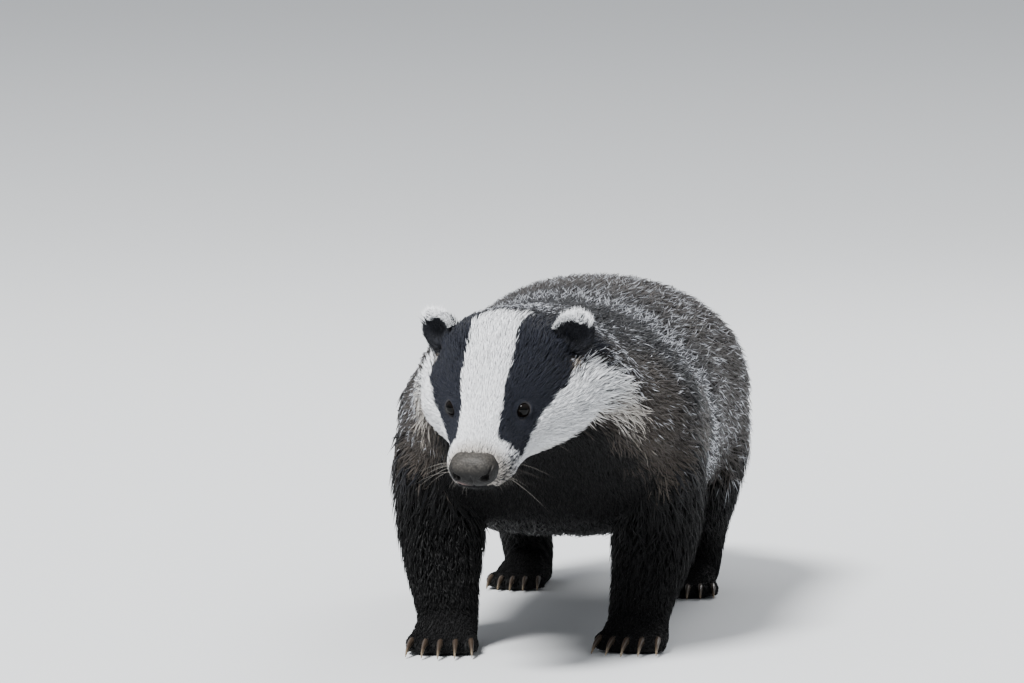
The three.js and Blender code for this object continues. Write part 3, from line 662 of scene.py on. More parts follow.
def nose_pad():
    """The bare nose: flat on top and blunt in front, with a groove below and two comma-shaped nostrils."""
    # The sphere's poles point to the front and the back of the pad
    obj, p = ball("nose_pad", 96, 64)
    side, up, ahead = p.T
    wide = (NOSE["half_wide"] - 0.5) * (1 - 0.16 * np.maximum(0, -up))
    x = boxy(side, 0.84) * wide
    y = -boxy(ahead, 0.7) * NOSE["half_deep"]
    z = boxy(up, 0.74) * NOSE["half_tall"]
    # The upper edge of the front is worn round, and the front leans back below
    y += 2.6 * smooth(4, 12, z) + 1.6 * smooth(-2, -12, z)
    front = smooth(0.0, 0.5, ahead)
    y += 1.8 * hump(x, 0, 1.1) * smooth(5, -1, z) * front
    radius, level = NOSTRIL["radius"], NOSTRIL["level"]
    for sign in (1, -1):
        past = x * sign - NOSTRIL["aside"]
        d = np.hypot(past / radius, (z - level) / (radius * 0.86))
        hole = smooth(1.12, 0.72, d)
        # A slit curls up and out from the hole, round the wing of the nose
        t = past / 5.6
        curl = level + 0.5 + 6.5 * np.clip(t, 0, 1) ** 1.3
        run = smooth(-0.05, 0.25, t) * smooth(1.25, 0.85, t) * smooth(-0.1, 0.4, ahead)
        y += NOSTRIL["deep"] * hole * front + 2.6 * hump(z, curl, 1.5) * run * (1 - hole)
        # A raised rim over the hole
        y -= 0.8 * hump(d, 1.5, 0.3) * front * smooth(-3, 3, z)
    return settle(obj, apply(PAD_FRAME, np.stack([x, y, z], 1)))


def eyeball(side):
    """A ball with the clear bulge of the cornea in front."""
    obj, p = ball("eyeball_left" if side > 0 else "eyeball_right", 48, 32)
    r = np.hypot(p[:, 0], p[:, 1])
    p *= EYE["radius"]
    p[:, 2] += 0.55 * smooth(0.7, 0.2, r) * (p[:, 2] > 0)
    return settle(obj, apply(on_side(EYE_FRAME, side), p))


def claws(foot, sole, name):
    """The five claws of a foot: flattened horns, level at the toe and curved down at the tip."""
    made = []
    wide = foot["toe_wide"]
    for fan, toe in toe_frames(foot, sole):
        length = foot["claw"] * (1 - 0.05 * abs(fan)) * draw.uniform(0.94, 1.0)
        bpy.ops.mesh.primitive_cylinder_add(vertices=14, radius=1, depth=2, end_fill_type="TRIFAN")
        obj = bpy.context.object
        edit(obj, lambda: bpy.ops.mesh.subdivide(number_cuts=5))
        p = places(obj)
        t = (1 - p[:, 2]) / 2
        half = 3.3 * (1 - t) ** 0.75 + 0.35
        y = -wide * 0.5 - (length + wide * 0.25) * t * (1 - 0.08 * t) - half * 0.9 * t * p[:, 1]
        z = wide * 0.28 - (wide - 1.6) * t**2.2 + p[:, 1] * half * 0.86
        made.append(settle(obj, apply(toe, np.stack([p[:, 0] * half * 0.72, y, z], 1))))
    return join(made, name)


# The lie of the coat, its depth and the length of its hair, at each point of the skin

TRUNK, LEG, PAW, TAIL, EARS = range(5)


def cloud(at, kind, number, s, angle, coat, hair, lie):
    """Points of one part, with what the skin takes from the nearest of them."""
    same = np.ones(len(at), int)
    coat, hair = coat * same, hair * same
    return dict(at=at, kind=kind * same, limb=number * same, s=s, angle=angle, coat=coat, hair=hair, lie=lie)


def grid(loft, rings, sides):
    """Places along and angles round a whole loft."""
    s, angle = np.meshgrid(np.linspace(0, loft.last, rings), np.linspace(0, math.tau, sides, False))
    return s.ravel(), angle.ravel()


def loft_cloud(loft, kind, rings, sides, sweep, number=0):
    """Points over a loft, with its own coat and lie."""
    s, angle = grid(loft, rings, sides)
    coat, hair = loft.coat(s, angle)
    return cloud(loft.point(s, angle), kind, number, s, angle, coat, hair, loft.lie(s, angle, sweep))


def paw_cloud(foot, sole, number):
    """The hair of a foot runs forward and down over its toes."""
    _, half_long, half_tall = foot["palm"]
    loft = foot_loft(foot, sole)
    spots = unit(np.random.default_rng(3).normal(size=(60, 3))) * (np.array(TOE) * foot["toe_wide"])
    points = [loft.point(*grid(loft, 20, 24))]
    points = np.concatenate(points + [apply(toe, spots) for _, toe in toe_frames(foot, sole)])
    x, y, z = apply(sole.inverted(), points).T
    lie = unit(ways(sole, np.stack([x * 0.01, 0 * x - 1, 0 * x - 0.15], 1)))
    along = (half_long - y) / (2.4 * half_long)
    angle = np.arctan2(z - half_tall * 0.6, x)
    return cloud(points, PAW, number, along, angle, FOOT_COAT, FOOT_HAIR, lie)


def ear_clouds(side):
    """The hair of an ear runs from its root out to the rim, on both its faces."""
    x, z = (v.ravel() for v in np.meshgrid(*[np.linspace(-1, 1, 15)] * 2))
    inside = np.hypot(x, z) < 1
    x, z = x[inside], z[inside]
    ear = ear_frame(side)
    lie = ways(ear, unit(np.stack([0.7 * x, 0 * x, z + 1.2], 1)))
    for face in (1, -1):
        y = face * 0.8 * EAR["half_thick"] * np.sqrt(1 - x**2 - z**2)
        points = apply(ear, np.stack([x * EAR["half_wide"], y, z * EAR["half_tall"]], 1))
        number = (side < 0) * 2 + (face < 0)
        yield cloud(points, EARS, number, z, x, EAR_COAT, EAR_HAIR, lie)


def nearest_samples(clouds, points):
    """What the nearest sample of all the clouds holds, for each point."""
    data = {key: np.concatenate([some[key] for some in clouds]) for key in clouds[0]}
    tree = KDTree(len(data["at"]))
    for i, p in enumerate(data["at"]):
        tree.insert(p, i)
    tree.balance()
    chosen = np.array([tree.find(p)[1] for p in points])
    return {key: value[chosen] for key, value in data.items()}


def eye_clearance(points):
    """How far a point is outside the slit of the nearer eye, in slit widths."""
    least = np.full(len(points), 99.0)
    for side in (1, -1):
        x, y, z = apply(on_side(EYE_FRAME, side).inverted(), points).T
        r = slit(x, y)
        least = np.where((np.abs(z) < 20) & (r < least), r, least)
    return least


def skin_fields(obj):
    """What the coat needs at each vertex of the skin: its part, place, depth, hair and direction."""
    clouds = [loft_cloud(flesh, TRUNK, 161, 90, 0.42), loft_cloud(tail, TAIL, 50, 24, 0)]
    for number, (loft, foot, sole) in enumerate(LIMBS):
        clouds += [loft_cloud(loft, LEG, 40, 24, 0, number), paw_cloud(foot, sole, number)]
    for side in (1, -1):
        clouds += ear_clouds(side)
    points, out = local(places(obj)), vertex_normals(obj)
    near = nearest_samples(clouds, points)
    kind, s, angle = near["kind"], near["s"].copy(), near["angle"].copy()
    # The place along and round the trunk, past the grain of its samples
    on = kind == TRUNK
    at, step = near["at"][on], 0.02
    for values in (s, angle):
        moves = (step, 0) if values is s else (0, step)
        slope = (flesh.point(s[on] + moves[0], angle[on] + moves[1]) - at) / step
        gain = ((points[on] - at) * slope).sum(1) / np.maximum((slope**2).sum(1), 1)
        values[on] += np.clip(gain, -0.1, 0.1)
    # Depth, length and direction pass softly from part to part
    a, b = array(obj.data.edges, "vertices", np.int32, 2).T
    count = np.bincount(a, minlength=len(points)) + np.bincount(b, minlength=len(points)) + 1.0
    flat = np.stack([*near["lie"].T, near["coat"], near["hair"]], 1)
    for _ in range(14):
        total = flat.copy()
        for column in range(flat.shape[1]):
            total[:, column] += np.bincount(a, flat[b, column], len(points))
            total[:, column] += np.bincount(b, flat[a, column], len(points))
        flat = total / count[:, None]
    coat, hair = flat[:, 3], flat[:, 4]
    lie = flat[:, :3] - out * (flat[:, :3] * out).sum(1, keepdims=True)
    lift = np.degrees(np.arcsin(np.sin(angle)))
    # A beard stands off the cheeks, a fringe hangs from the jaw, and the coat hangs lower along the flanks
    beard = hump(s, 7.0, 1.5) * hump(lift, -20, 30) * on
    jaw = hump(lift, -52, 24) * smooth(3.8, 5.6, s) * smooth(9, 7.6, s) * on
    skirt = smooth(-8, -42, lift) * smooth(10.8, 12.4, s) * smooth(17.6, 16, s) * on
    coat = coat + 6 * beard + 2.5 * jaw + 6 * skirt
    hair = hair + 6 * beard + 4 * jaw + 8 * skirt
    lie[:, 2] -= 0.7 * jaw
    lie[:, 2] -= 0.5 * skirt
    lie -= out * (lie * out).sum(1, keepdims=True)
    clear = eye_clearance(points)
    shown = smooth(1.1, 3.6, clear)
    return dict(
        s=s, cos=np.cos(angle), sin=np.sin(angle), raw=angle, coat=coat * (0.25 + 0.75 * shown),
        hair=hair * (0.3 + 0.7 * shown), lie=unit(lie), at=points, out=out, clear=clear, kind=kind,
        limb=near["limb"],
    )


# Markings

# The half width of the blaze and the lower edge of the stripes, by the place along the head
BLAZE_MIDDLE = -1.5
BLAZE = (
    (0, 19), (20, 17), (30, 15), (45, 14), (57, 15), (70, 16.5), (100, 17), (118, 18), (128, 21), (142, 34),
)
STRIPE_LOW = (
    (27, -15), (33, -13), (44, -6), (50, 0), (64, 9), (74, 14), (86, 15), (104, 13), (125, 8), (150, 5),
)
# Where the white of the cheeks ends and where the frosted band lies, pale tips with painted light on them, by
# height
CHEEK_BACK = ((90, 190), (118, 188), (150, 170), (175, 149), (201, 121), (217, 102), (224, 91), (233, 80))
BAND = ((100, 320), (162, 299), (185, 269), (214, 265), (246, 265))
# The upper edge of the black throat, in degrees round each section of the trunk
THROAT = (
    (0, -95), (2.5, -95), (3.2, -80), (5, -67), (7, -61), (8, -56), (9, -48), (10, -39), (11, -26), (12, -14),
)
# The share of pale tips down the back
GRIZZLE = ((90, 0.62), (130, 0.36), (175, 0.27), (230, 0.27), (330, 0.4), (640, 0.5))


def ripple(points, size, seed):
    """Smooth noise, mostly from -1 to 1, whose bumps are about a size across."""
    pick = np.random.default_rng(seed)
    total = np.zeros(len(points))
    for _ in range(7):
        way = unit(pick.normal(size=3)) * math.pi / size * pick.uniform(0.6, 1.6)
        total += np.sin(points @ way + pick.uniform(0, math.tau))
    return total / 3.2


def markings(f):
    """White, black, brown, the share of pale tips, and how far painted shade deepens the black, each from 0
    to 1.
    """
    p, kind, s = f["at"], f["kind"], f["s"]
    x, along, up = head_places(p).T
    y, z = p[:, 1], p[:, 2]
    lift = np.degrees(np.arcsin(np.clip(f["sin"], -1, 1)))
    wobble, slow = ripple(p, 11, 5), ripple(p, 45, 6)
    ears, leg = kind == EARS, kind == LEG
    on_head = (kind == TRUNK) * (s < 12.5)

    # The white blaze, the white below the stripes and the white muzzle
    blaze = smooth(0.7, -0.7, np.abs(x - BLAZE_MIDDLE) - edge(along, BLAZE) + 0.7 * wobble)
    low = smooth(0.9, -0.9, up - edge(along, STRIPE_LOW) + 0.8 * wobble)
    ahead = smooth(0.8, -0.8, along - 28 - 0.24 * (9 - up) + 0.8 * wobble)
    front = np.maximum(blaze * (lift > 5), np.maximum(low, ahead))
    # It ends behind the cheeks, above the throat and at the crown
    back = smooth(5, -5, y - edge(z, CHEEK_BACK) - 15 * (x < -20) + 5 * wobble)
    lower = lift - edge(s, THROAT) - 3 * wobble
    spread = 3 + 5 * smooth(6, 9, s)
    throat = smooth(spread, -spread, lower)
    crown = smooth(120, 150, along + 4 * wobble) * (up > 0)
    face = smooth(132, 122, along) * (up > 0) + (up <= 0)
    white = on_head * front * back * (1 - throat) * (1 - crown) * np.clip(face + low, 0, 1)
    stripe = on_head * (1 - front) * smooth(150, 126, along + 5 * wobble) * (up > -20) * (s < 9.5)
    # A brown fringe between the white cheek and the black throat
    fringe = on_head * smooth(6.2, 8.2, s) * smooth(27 + 29 * smooth(7.8, 9.5, s), 3, lower)
    white = white * (1 - fringe)
    # Dark specks on the whisker pads, and a stained rim round the nose
    pad = on_head * smooth(34, 26, along) * smooth(9, 14, np.abs(x)) * smooth(8, 0, up)
    rim = on_head * smooth(25, 11, along)

    # The grizzle: a pale nape, a brown neck and grey-brown behind. The frosted band is pale tips with painted
    # light, paler higher up; the dark shoulder ahead of it and the dimmer strip behind it are painted shade
    past = y - edge(z, BAND)
    flank = smooth(55, 25, lift)
    lit_frost_band = np.where(past < 0, hump(past, 0, 26), hump(past, 0, 44))
    pale = edge(y, GRIZZLE)
    # Painted light on the band, more so higher up, and painted shade in a strip behind it
    pale += (0.32 + 0.18 * smooth(95, 165, z)) * lit_frost_band - 0.06 * hump(past, 72, 24)
    # Painted light: more pale tips far out on the right of the neck
    pale += 0.3 * smooth(-52, -76, x) * hump(y, 150, 48) - flank * hump(y, 165, 40) * 0.06
    # Painted shade: fewer pale tips on the lower flanks behind the band
    pale -= 0.04 * smooth(30, 90, past) * smooth(60, 20, lift)
    brown = flank * hump(y, 150, 44) * 0.85 + 0.56 * smooth(10, 130, past) + 0.1 * np.maximum(slow, 0)
    # Painted shade: the shoulder just ahead of the band is darker
    brown = brown * (1 - 0.85 * hump(past, -38, 20))
    under = smooth(-14, -46, lift + 5 * slow + 5 * wobble) * (kind == TRUNK)
    pale = pale * (1 - 0.85 * under) * (1 - 0.6 * fringe) + 0.08 * slow
    brown = np.maximum(brown, 0.95 * fringe)

    # Black on the stripes, the throat, the belly, the specks and the rim, and on the lip under the nose as
    # painted shade
    lip = on_head * smooth(19, 13, along) * smooth(-8, -12, up) * smooth(15, 10, np.abs(x))
    belly = 0.75 * under * (1 - white)
    black = np.max([stripe, throat * on_head, belly, 0.46 * pad, 0.26 * rim, 0.9 * lip], 0)
    white = white * (1 - 0.9 * lip)
    # A taupe patch below the root of each ear
    root = hump(np.abs(x), 51, 12) * hump(along, 108, 12) * hump(up, 12, 9) * on_head
    black = black * (1 - 0.8 * root)
    white = white * (1 - 0.6 * root)
    brown = np.maximum(brown, root)

    # Legs, feet and ears are black, the tail is grizzled white, and the ears are rimmed with white
    sunk = smooth(0.6, 2.4, s)
    pale = np.where(leg, 0.35 * (1 - sunk), pale)
    black = np.where(leg, 0.25 + 0.75 * sunk, black)
    pale = np.where((kind == PAW) | ears, 0, pale)
    black = np.where((kind == PAW) | ears, 1, black)
    light = kind == TAIL
    pale, black = np.where(light, 0.9, pale), np.where(light, 0, black)
    white = np.where(light, 0.35 + 0.2 * slow, white)
    rimmed = smooth(0.32, 0.38, s) * smooth(0.7, 0.75, np.hypot(s, f["raw"])) * smooth(-0.7, -0.62, f["raw"])
    white = np.where(ears, rimmed, white)
    black = black * np.where(np.maximum(pad, rim) > 0, 1, 1 - white)
    # The white turns cream near its lower edge
    far = smooth(8, 9.5, s)
    cream = smooth(44 + 34 * far, 20 + 16 * far, lower) * (0.3 + 0.45 * smooth(7.5, 9, s))
    brown = np.where(white > 0.5, np.maximum(0.7 * rim, cream), brown)
    # Painted shade: the black is deeper below the head's axis, on the legs, feet and ears, and on the lip
    # under the nose
    shadow_black = smooth(5, 25, along) * smooth(-20, -30, up) * (kind == TRUNK) + (kind != TRUNK)
    shadow_black = np.maximum(np.where(ears, 0.6, shadow_black), lip)
    return np.clip(np.stack([white, black, brown, pale, shadow_black], 1), 0, 1)


# Colours

# The darkest black stands for painted shade on black fur
HAIR = dict(
    white="f7f8fa", cream="b5aa9a", black="1c1f29", shadow_black="050506", grey="101218", brown="4f4842", tip="dfe2e9"
)


def linear(value, alpha=1.0):
    """An sRGB hex colour as linear light."""
    channels = [int(value[i : i + 2], 16) / 255 for i in (0, 2, 4)]
    return tuple(c / 12.92 if c <= 0.04045 else ((c + 0.055) / 1.055) ** 2.4 for c in channels) + (alpha,)


def mixed(low, high, weight):
    """From one colour to another by a weight for each point. A colour is a hex value or an array."""
    low, high = (np.array(linear(c)) if isinstance(c, str) else c for c in (low, high))
    return low + (high - low) * np.asarray(weight)[:, None]


def paint(obj, colour):
    """Colours at the points of a mesh."""
    attribute = obj.data.color_attributes.new("marking", "FLOAT_COLOR", "POINT")
    attribute.data.foreach_set("color", np.asarray(colour, np.float32).ravel())


def hair_colour(marks, chance):
    """A colour for each tuft, with the share of its pale tip as alpha. Chance settles the soft edges."""
    white, black, brown, pale, shadow_black = marks.T
    softness = ((white, 0.12), (black, 0.1), (pale, 0.2))
    keen, soft, tipped = (np.clip((share - chance) / wide + 0.5, 0, 1) for share, wide in softness)
    colour = mixed(HAIR["grey"], HAIR["brown"], brown)
    colour = mixed(colour, mixed(HAIR["white"], HAIR["cream"], brown), keen)
    # Painted shade deepens the black towards the darkest black
    colour = mixed(colour, mixed(HAIR["black"], HAIR["shadow_black"], shadow_black), soft)
    colour[:, 3] = tipped * (1 - keen) * (1 - soft)
    return colour


# Tufts

# How deep they start in the skin, and how far they stay off the floor
SINK = 0.6
FLOOR_GAP = 0.3
# Where the rings of long and of short tufts are along them, and how wide each ring is, as shares
RINGS = {True: (0, 0.36, 0.76), False: (0, 0.45)}
SWELL = {True: (0.7, 1, 0.72), False: (0.75, 1)}
# The side of a strand's own patch on the map for baking, and the most triangles in one piece
PATCH = 0.003
MOST_TRIANGLES = 190000

# How wide a tuft is and how thickly tufts cover the skin, by the length of the hair
WIDTHS = ((2, 0.42), (6, 0.56), (10, 0.7), (20, 1.05), (30, 1.35), (48, 1.7))
COVERS = ((2, 2.0), (6, 2.6), (10, 3.2), (20, 4.2), (30, 5.0), (48, 6.0))
# Each part's share of that cover, and how much wider its tufts are
PARTS = {
    "head": (0.95, 1.0),
    "neck": (1.35, 0.7),
    "torso": (1.0, 1.0),
    "legs": (0.62, 1.3),
    "paws": (0.5, 1.6),
    "tail": (1.3, 0.9),
    "ears": (0.8, 1.1),
}
# The parts whose tufts stand in clumps
SHAGGY = ("neck", "torso", "legs", "tail")
# Where the neck and the torso start along the trunk
NECK_FROM = 8.4
TORSO_FROM = 11.0


def nearest_on(tree, points):
    """The nearest places of the skin and its slopes there, in millimetres."""
    found = [tree.find_nearest(p) for p in world(points)]
    return local(np.array([hit[0] for hit in found])), np.array([hit[1] for hit in found])


def scatter(obj, fields, density):
    """Roots spread over the skin by density, with its fields at each of them."""
    obj.data.calc_loop_triangles()
    corners = array(obj.data.loop_triangles, "vertices", np.int32)
    p = fields["at"][corners]
    area = np.linalg.norm(np.cross(p[:, 1] - p[:, 0], p[:, 2] - p[:, 0]), axis=1) / 2
    total = np.cumsum(area * density[corners].mean(1))
    chosen = corners[np.searchsorted(total, np.arange(draw.uniform(), total[-1], 1.0))]
    share = draw.dirichlet((1, 1, 1), len(chosen))
    # A root between two parts belongs to its nearest corner alone
    kinds = fields["kind"][chosen]
    torn = (kinds[:, :1] != kinds).any(1)
    share[torn] = share[torn] == share[torn].max(1, keepdims=True)
    roots = {}
    for key, value in fields.items():
        value = value[chosen]
        if key in ("kind", "limb"):
            roots[key] = value[np.arange(len(value)), share.argmax(1)]
        else:
            roots[key] = (value * (share[:, :, None] if value.ndim == 3 else share)).sum(1)
    roots["out"], roots["lie"] = unit(roots["out"]), unit(roots["lie"])
    return roots


def clumped(roots, spacing):
    """How far each tip leans to the middle of its clump, and a number from 0 to 1 that the clump shares."""
    at = roots["at"]
    keep = draw.permutation(len(at))[: max(8, int(len(at) * min(1, 9 / spacing**2)))]
    tree = KDTree(len(keep))
    for i in keep:
        tree.insert(at[i], int(i))
    tree.balance()
    middle = np.array([tree.find(p)[1] for p in at])
    return (at[middle] - at) * 0.5 * draw.uniform(0.4, 1, (len(at), 1)), draw.uniform(0, 1, len(at))[middle]


def strands(name, spots, slopes, steps, swell, width, colour, patch):
    """Solid strands as one mesh, from the places of their rings and tips, three-sided and tapering."""
    n = len(width)
    roll = draw.normal(0, 0.5, (n, 1))
    rows = []
    for i, share in enumerate(swell):
        run = unit(spots[i + 1] - spots[max(i - 1, 0)])
        side = unit(np.cross(run, slopes[i]))
        up = np.cross(side, run)
        flat, tall = side * np.cos(roll) + up * np.sin(roll), up * np.cos(roll) - side * np.sin(roll)
        half = (width * share / 2)[:, None]
        rows += [spots[i] - flat * half, spots[i] + flat * half, spots[i] + tall * half * 0.8]
    points = np.stack(rows + [spots[-1]], 1)
    points[:, :, 2] = np.maximum(points[:, :, 2], FLOOR_GAP)
    # The corners of one strand's faces: the point, and its place across and along the strand
    faces = []
    for r in range(len(swell)):
        a, b, start, end = 3 * r, 3 * r + 3, steps[r], steps[r + 1]
        for k in range(3):
            m = (k + 1) % 3
            face = [(a + k, k, start), (a + m, k + 1, start)]
            if r < len(swell) - 1:
                faces.append(face + [(b + m, k + 1, end), (b + k, k, end)])
            else:
                faces.append(face + [(b, k + 0.5, end)])
    faces.append([(2, 2, 0), (1, 1, 0), (0, 0, 0)])
    p = points[0]
    if np.cross(p[1] - p[0], p[3] - p[0]) @ (p[2] - p[0]) > 0:
        faces = [face[::-1] for face in faces]
    corners = np.array([corner for face in faces for corner in face])
    sizes = np.array([len(face) for face in faces])
    per = points.shape[1]
    loops = (corners[None, :, 0] + per * np.arange(n)[:, None]).astype(np.int32).ravel()
    starts = np.concatenate([[0], np.cumsum(np.tile(sizes, n))[:-1]]).astype(np.int32)
    mesh = bpy.data.meshes.new(name)
    mesh.vertices.add(n * per)
    mesh.vertices.foreach_set("co", world(points.reshape(-1, 3)).astype(np.float32).ravel())
    mesh.loops.add(len(loops))
    mesh.loops.foreach_set("vertex_index", loops)
    mesh.polygons.add(len(starts))
    mesh.polygons.foreach_set("loop_start", starts)
    mesh.update(calc_edges=True)
    # One map runs across and along each strand. The other holds each strand as a small patch at its root.
    grain = np.tile(corners[None, :, 1:], (n, 1, 1))
    grain[:, :, 0] = grain[:, :, 0] / 3 + np.floor(draw.uniform(0, 400, (n, 1))) * 1.37
    low, high = patch.min(0), patch.max(0)
    spot = PATCH + (1 - 3 * PATCH) * (patch - low) / np.maximum(high - low, 1e-6)
    square = corners[None, :, 1:] * (PATCH / 3, PATCH) + spot[:, None] - PATCH / 2
    for label, values in (("hair", grain), ("OFBake", square)):
        mesh.uv_layers.new(name=label).data.foreach_set("uv", values.astype(np.float32).ravel())
    obj = bpy.data.objects.new(name, mesh)
    paint(obj, np.repeat(colour, per, 0))
    bpy.context.scene.collection.objects.link(obj)
    return obj


def tufts(name, tree, roots, long, stray):
    """Tufts that start in the skin, lean over and run along it, or free of it, to a fine tip."""
    at, out, free = roots["at"], roots["out"], roots["free"]
    n = len(at)
    across = np.cross(roots["lie"], out)
    turn = draw.normal(0, stray, (n, 1))
    way = unit(roots["lie"] * np.cos(turn) + across * np.sin(turn))
    curl = draw.normal(0, stray * 0.6, (n, 1))
    steps = RINGS[long] + (1,)
    spots, slopes = [at - out * SINK], [out]
    for t in steps[1:]:
        ahead = at + (way + across * curl * t) * (roots["length"] * t)[:, None] + roots["lean"] * t**1.6
        on, slope = nearest_on(tree, ahead)
        on[free], slope[free] = ahead[free], out[free]
        flip = (slope * out).sum(1) < -0.2
        slope[flip] = out[flip]
        spots.append(on + slope * (roots["depth"] * (1 - (1 - t) ** 2))[:, None])
        slopes.append(slope)
    return strands(name, spots, slopes, steps, SWELL[long], roots["width"], roots["colour"], roots["patch"])


def part_of(f):
    """The name of the part that each place belongs to."""
    kind, s = f["kind"], f["s"]
    along = np.where(s < NECK_FROM, "head", np.where(s < TORSO_FROM, "neck", "torso"))
    return np.where(kind == TRUNK, along, np.array(["", "legs", "paws", "tail", "ears"])[kind])


def bare(f):
    """Where no hair grows: on the lids' edges, under the nose pad, between the lips and on the soles."""
    head = head_places(f["at"])
    covered = (NOSE["half_wide"] - 0.8, NOSE["half_deep"], NOSE["half_tall"] - 0.8)
    in_pad = (((head - (0, NOSE["back"], NOSE["level"])) / covered) ** 2).sum(1) < 1
    gap, weight = mouth_drop(head)
    lips = (np.abs(gap) < 0.8) & (weight > 0.3) & (head[:, 2] < 0) & (head[:, 1] < MOUTH["length"])
    sole = (f["at"][:, 2] < 2.5) & (f["out"][:, 2] < -0.4)
    return (f["clear"] < 1.07) | in_pad | lips | sole


def coat_pieces(skin_obj, fields):
    """The whole coat, part by part, in pieces of at most MOST_TRIANGLES triangles."""
    tree = BVHTree.FromObject(skin_obj, bpy.context.evaluated_depsgraph_get())
    part = part_of(fields)
    density = edge(fields["hair"], COVERS) / (0.5 * edge(fields["hair"], WIDTHS) * fields["hair"])
    for name, (share, wider) in PARTS.items():
        density[part == name] *= share / wider
    roots = scatter(skin_obj, fields, density)
    keep = ~bare(roots)
    roots = {key: value[keep] for key, value in roots.items()}
    part = part_of(roots)
    for name, (_, wider) in PARTS.items():
        some = {key: value[part == name] for key, value in roots.items()}
        s, sine = some["s"], some["sin"]
        n = len(s)
        long, ears, shaggy = name == "neck", name == "ears", name in SHAGGY
        marks = markings(some)
        length = some["hair"] * draw.uniform(0.72, 1.12, n)
        length = length * (1 + 0.6 * ears * marks[:, 0])
        # Flatter behind the head, bushier down the tail
        flat = hump(s, 10.4, 0.9) * smooth(75, 35, np.degrees(np.arcsin(np.clip(sine, -1, 1))))
        depth = some["coat"] * draw.uniform(0.4, 0.92, n) * (1 - 0.4 * flat * (some["kind"] == TRUNK))
        bushy = smooth(0.9, 2, s) * (name == "tail")
        depth = depth * (1 + 0.5 * bushy)
        width = edge(some["hair"], WIDTHS) * wider * draw.uniform(0.75, 1.2, n)
        lean, shared = clumped(some, 11 if long else 9)
        lean = lean * (1 - 0.7 * marks[:, :1]) * shaggy
        chance = draw.uniform(0, 1, n)
        if shaggy:
            chance = 0.6 * shared + 0.4 * chance
        colour = hair_colour(marks, 0.08 + 0.84 * chance)
        colour[:, :3] *= draw.uniform(0.86, 1.1, (n, 1))
        # Where each root is on an unwrap of the skin: round its part, and along it
        patch = np.stack([np.arctan2(sine, some["cos"]) / math.tau % 1 + some["limb"] * 1.02, s], 1)
        if ears:
            patch = np.stack([some["raw"] + some["limb"] * 2.1, s], 1)
        free = (bushy > 0) | ears
        some.update(length=length, depth=depth, width=width, colour=colour, patch=patch, lean=lean, free=free)
        triangles = n * (6 * len(RINGS[long]) - 2)
        order = np.argsort(s, kind="stable")
        for i, rows in enumerate(np.array_split(order, math.ceil(triangles / MOST_TRIANGLES))):
            chosen = {key: value[rows] for key, value in some.items()}
            yield name, tufts(f"coat_{name}_{i + 1}", tree, chosen, long, 0.18 if shaggy else 0.09)


# The white fringe along an ear's upper rim
FRINGE = dict(count=1200, low=2, high=122, length=4.8, width=0.5, inward=4)

# Whiskers on the pads beside the nose, on the cheeks and under the chin, and short bristles by the lips:
# how many, their middle in the head's frame, how far they spread, their direction and their length
WHISKERS = [
    (9, (19, 19, -6), (4, 7, 6), (1, 0.2, -0.35), 28),
    (2, (36, 70, -18), (3, 5, 3), (0.9, 0.5, -0.5), 20),
    (4, (9, 16, -20), (6, 5, 1), (0.5, 0.1, -1), 11),
    (40, (17, 24, -14), (4, 15, 6), (0.8, 0.2, -0.9), 7),
]
WHISKER_WIDE = 0.26


def fringe(side):
    """Soft white hair that stands up and forward off an ear's upper rim."""
    n = FRINGE["count"]
    angle = np.radians(draw.uniform(FRINGE["low"], FRINGE["high"], n))
    reach = draw.uniform(0.7, 0.98, n)
    x, z = np.cos(angle) * reach + FRINGE["inward"] / EAR["half_wide"], np.sin(angle) * reach
    over = np.maximum(1, np.hypot(x, z) / np.where(x > 0, 1.16, 0.97))
    x, z = x / over, z / over
    face = draw.uniform(-0.25, 0.85, n) * EAR["half_thick"] * 0.7
    ear = ear_frame(side)
    at = apply(ear, np.stack([x * (EAR["half_wide"] - 1), face, z * (EAR["half_tall"] - 1)], 1))
    way = ways(ear, unit(np.stack([x * 0.25, 0.85 + 0 * x, z * 0.5], 1) + draw.normal(0, 0.16, (n, 3))))
    top = 0.55 + 0.45 * np.sin(angle)
    length = (FRINGE["length"] * top * draw.uniform(0.6, 1.1, n))[:, None]
    bend = head_axis(0, 0.9, 0.1) * length
    steps = (0, 0.45, 1)
    spots = [at + way * length * t + bend * 0.22 * t * t for t in steps]
    out = np.tile(np.array(ear)[:3, 1], (n, 1))
    colour = np.repeat([linear(HAIR["white"], 0)], n, 0) * draw.uniform(0.85, 1.0, (n, 1))
    label = "ear_fringe_left" if side > 0 else "ear_fringe_right"
    width = FRINGE["width"] * draw.uniform(0.7, 1.2, n)
    return strands(label, spots, [out] * 2, steps, (1, 0.9), width, colour, np.stack([x, z], 1))


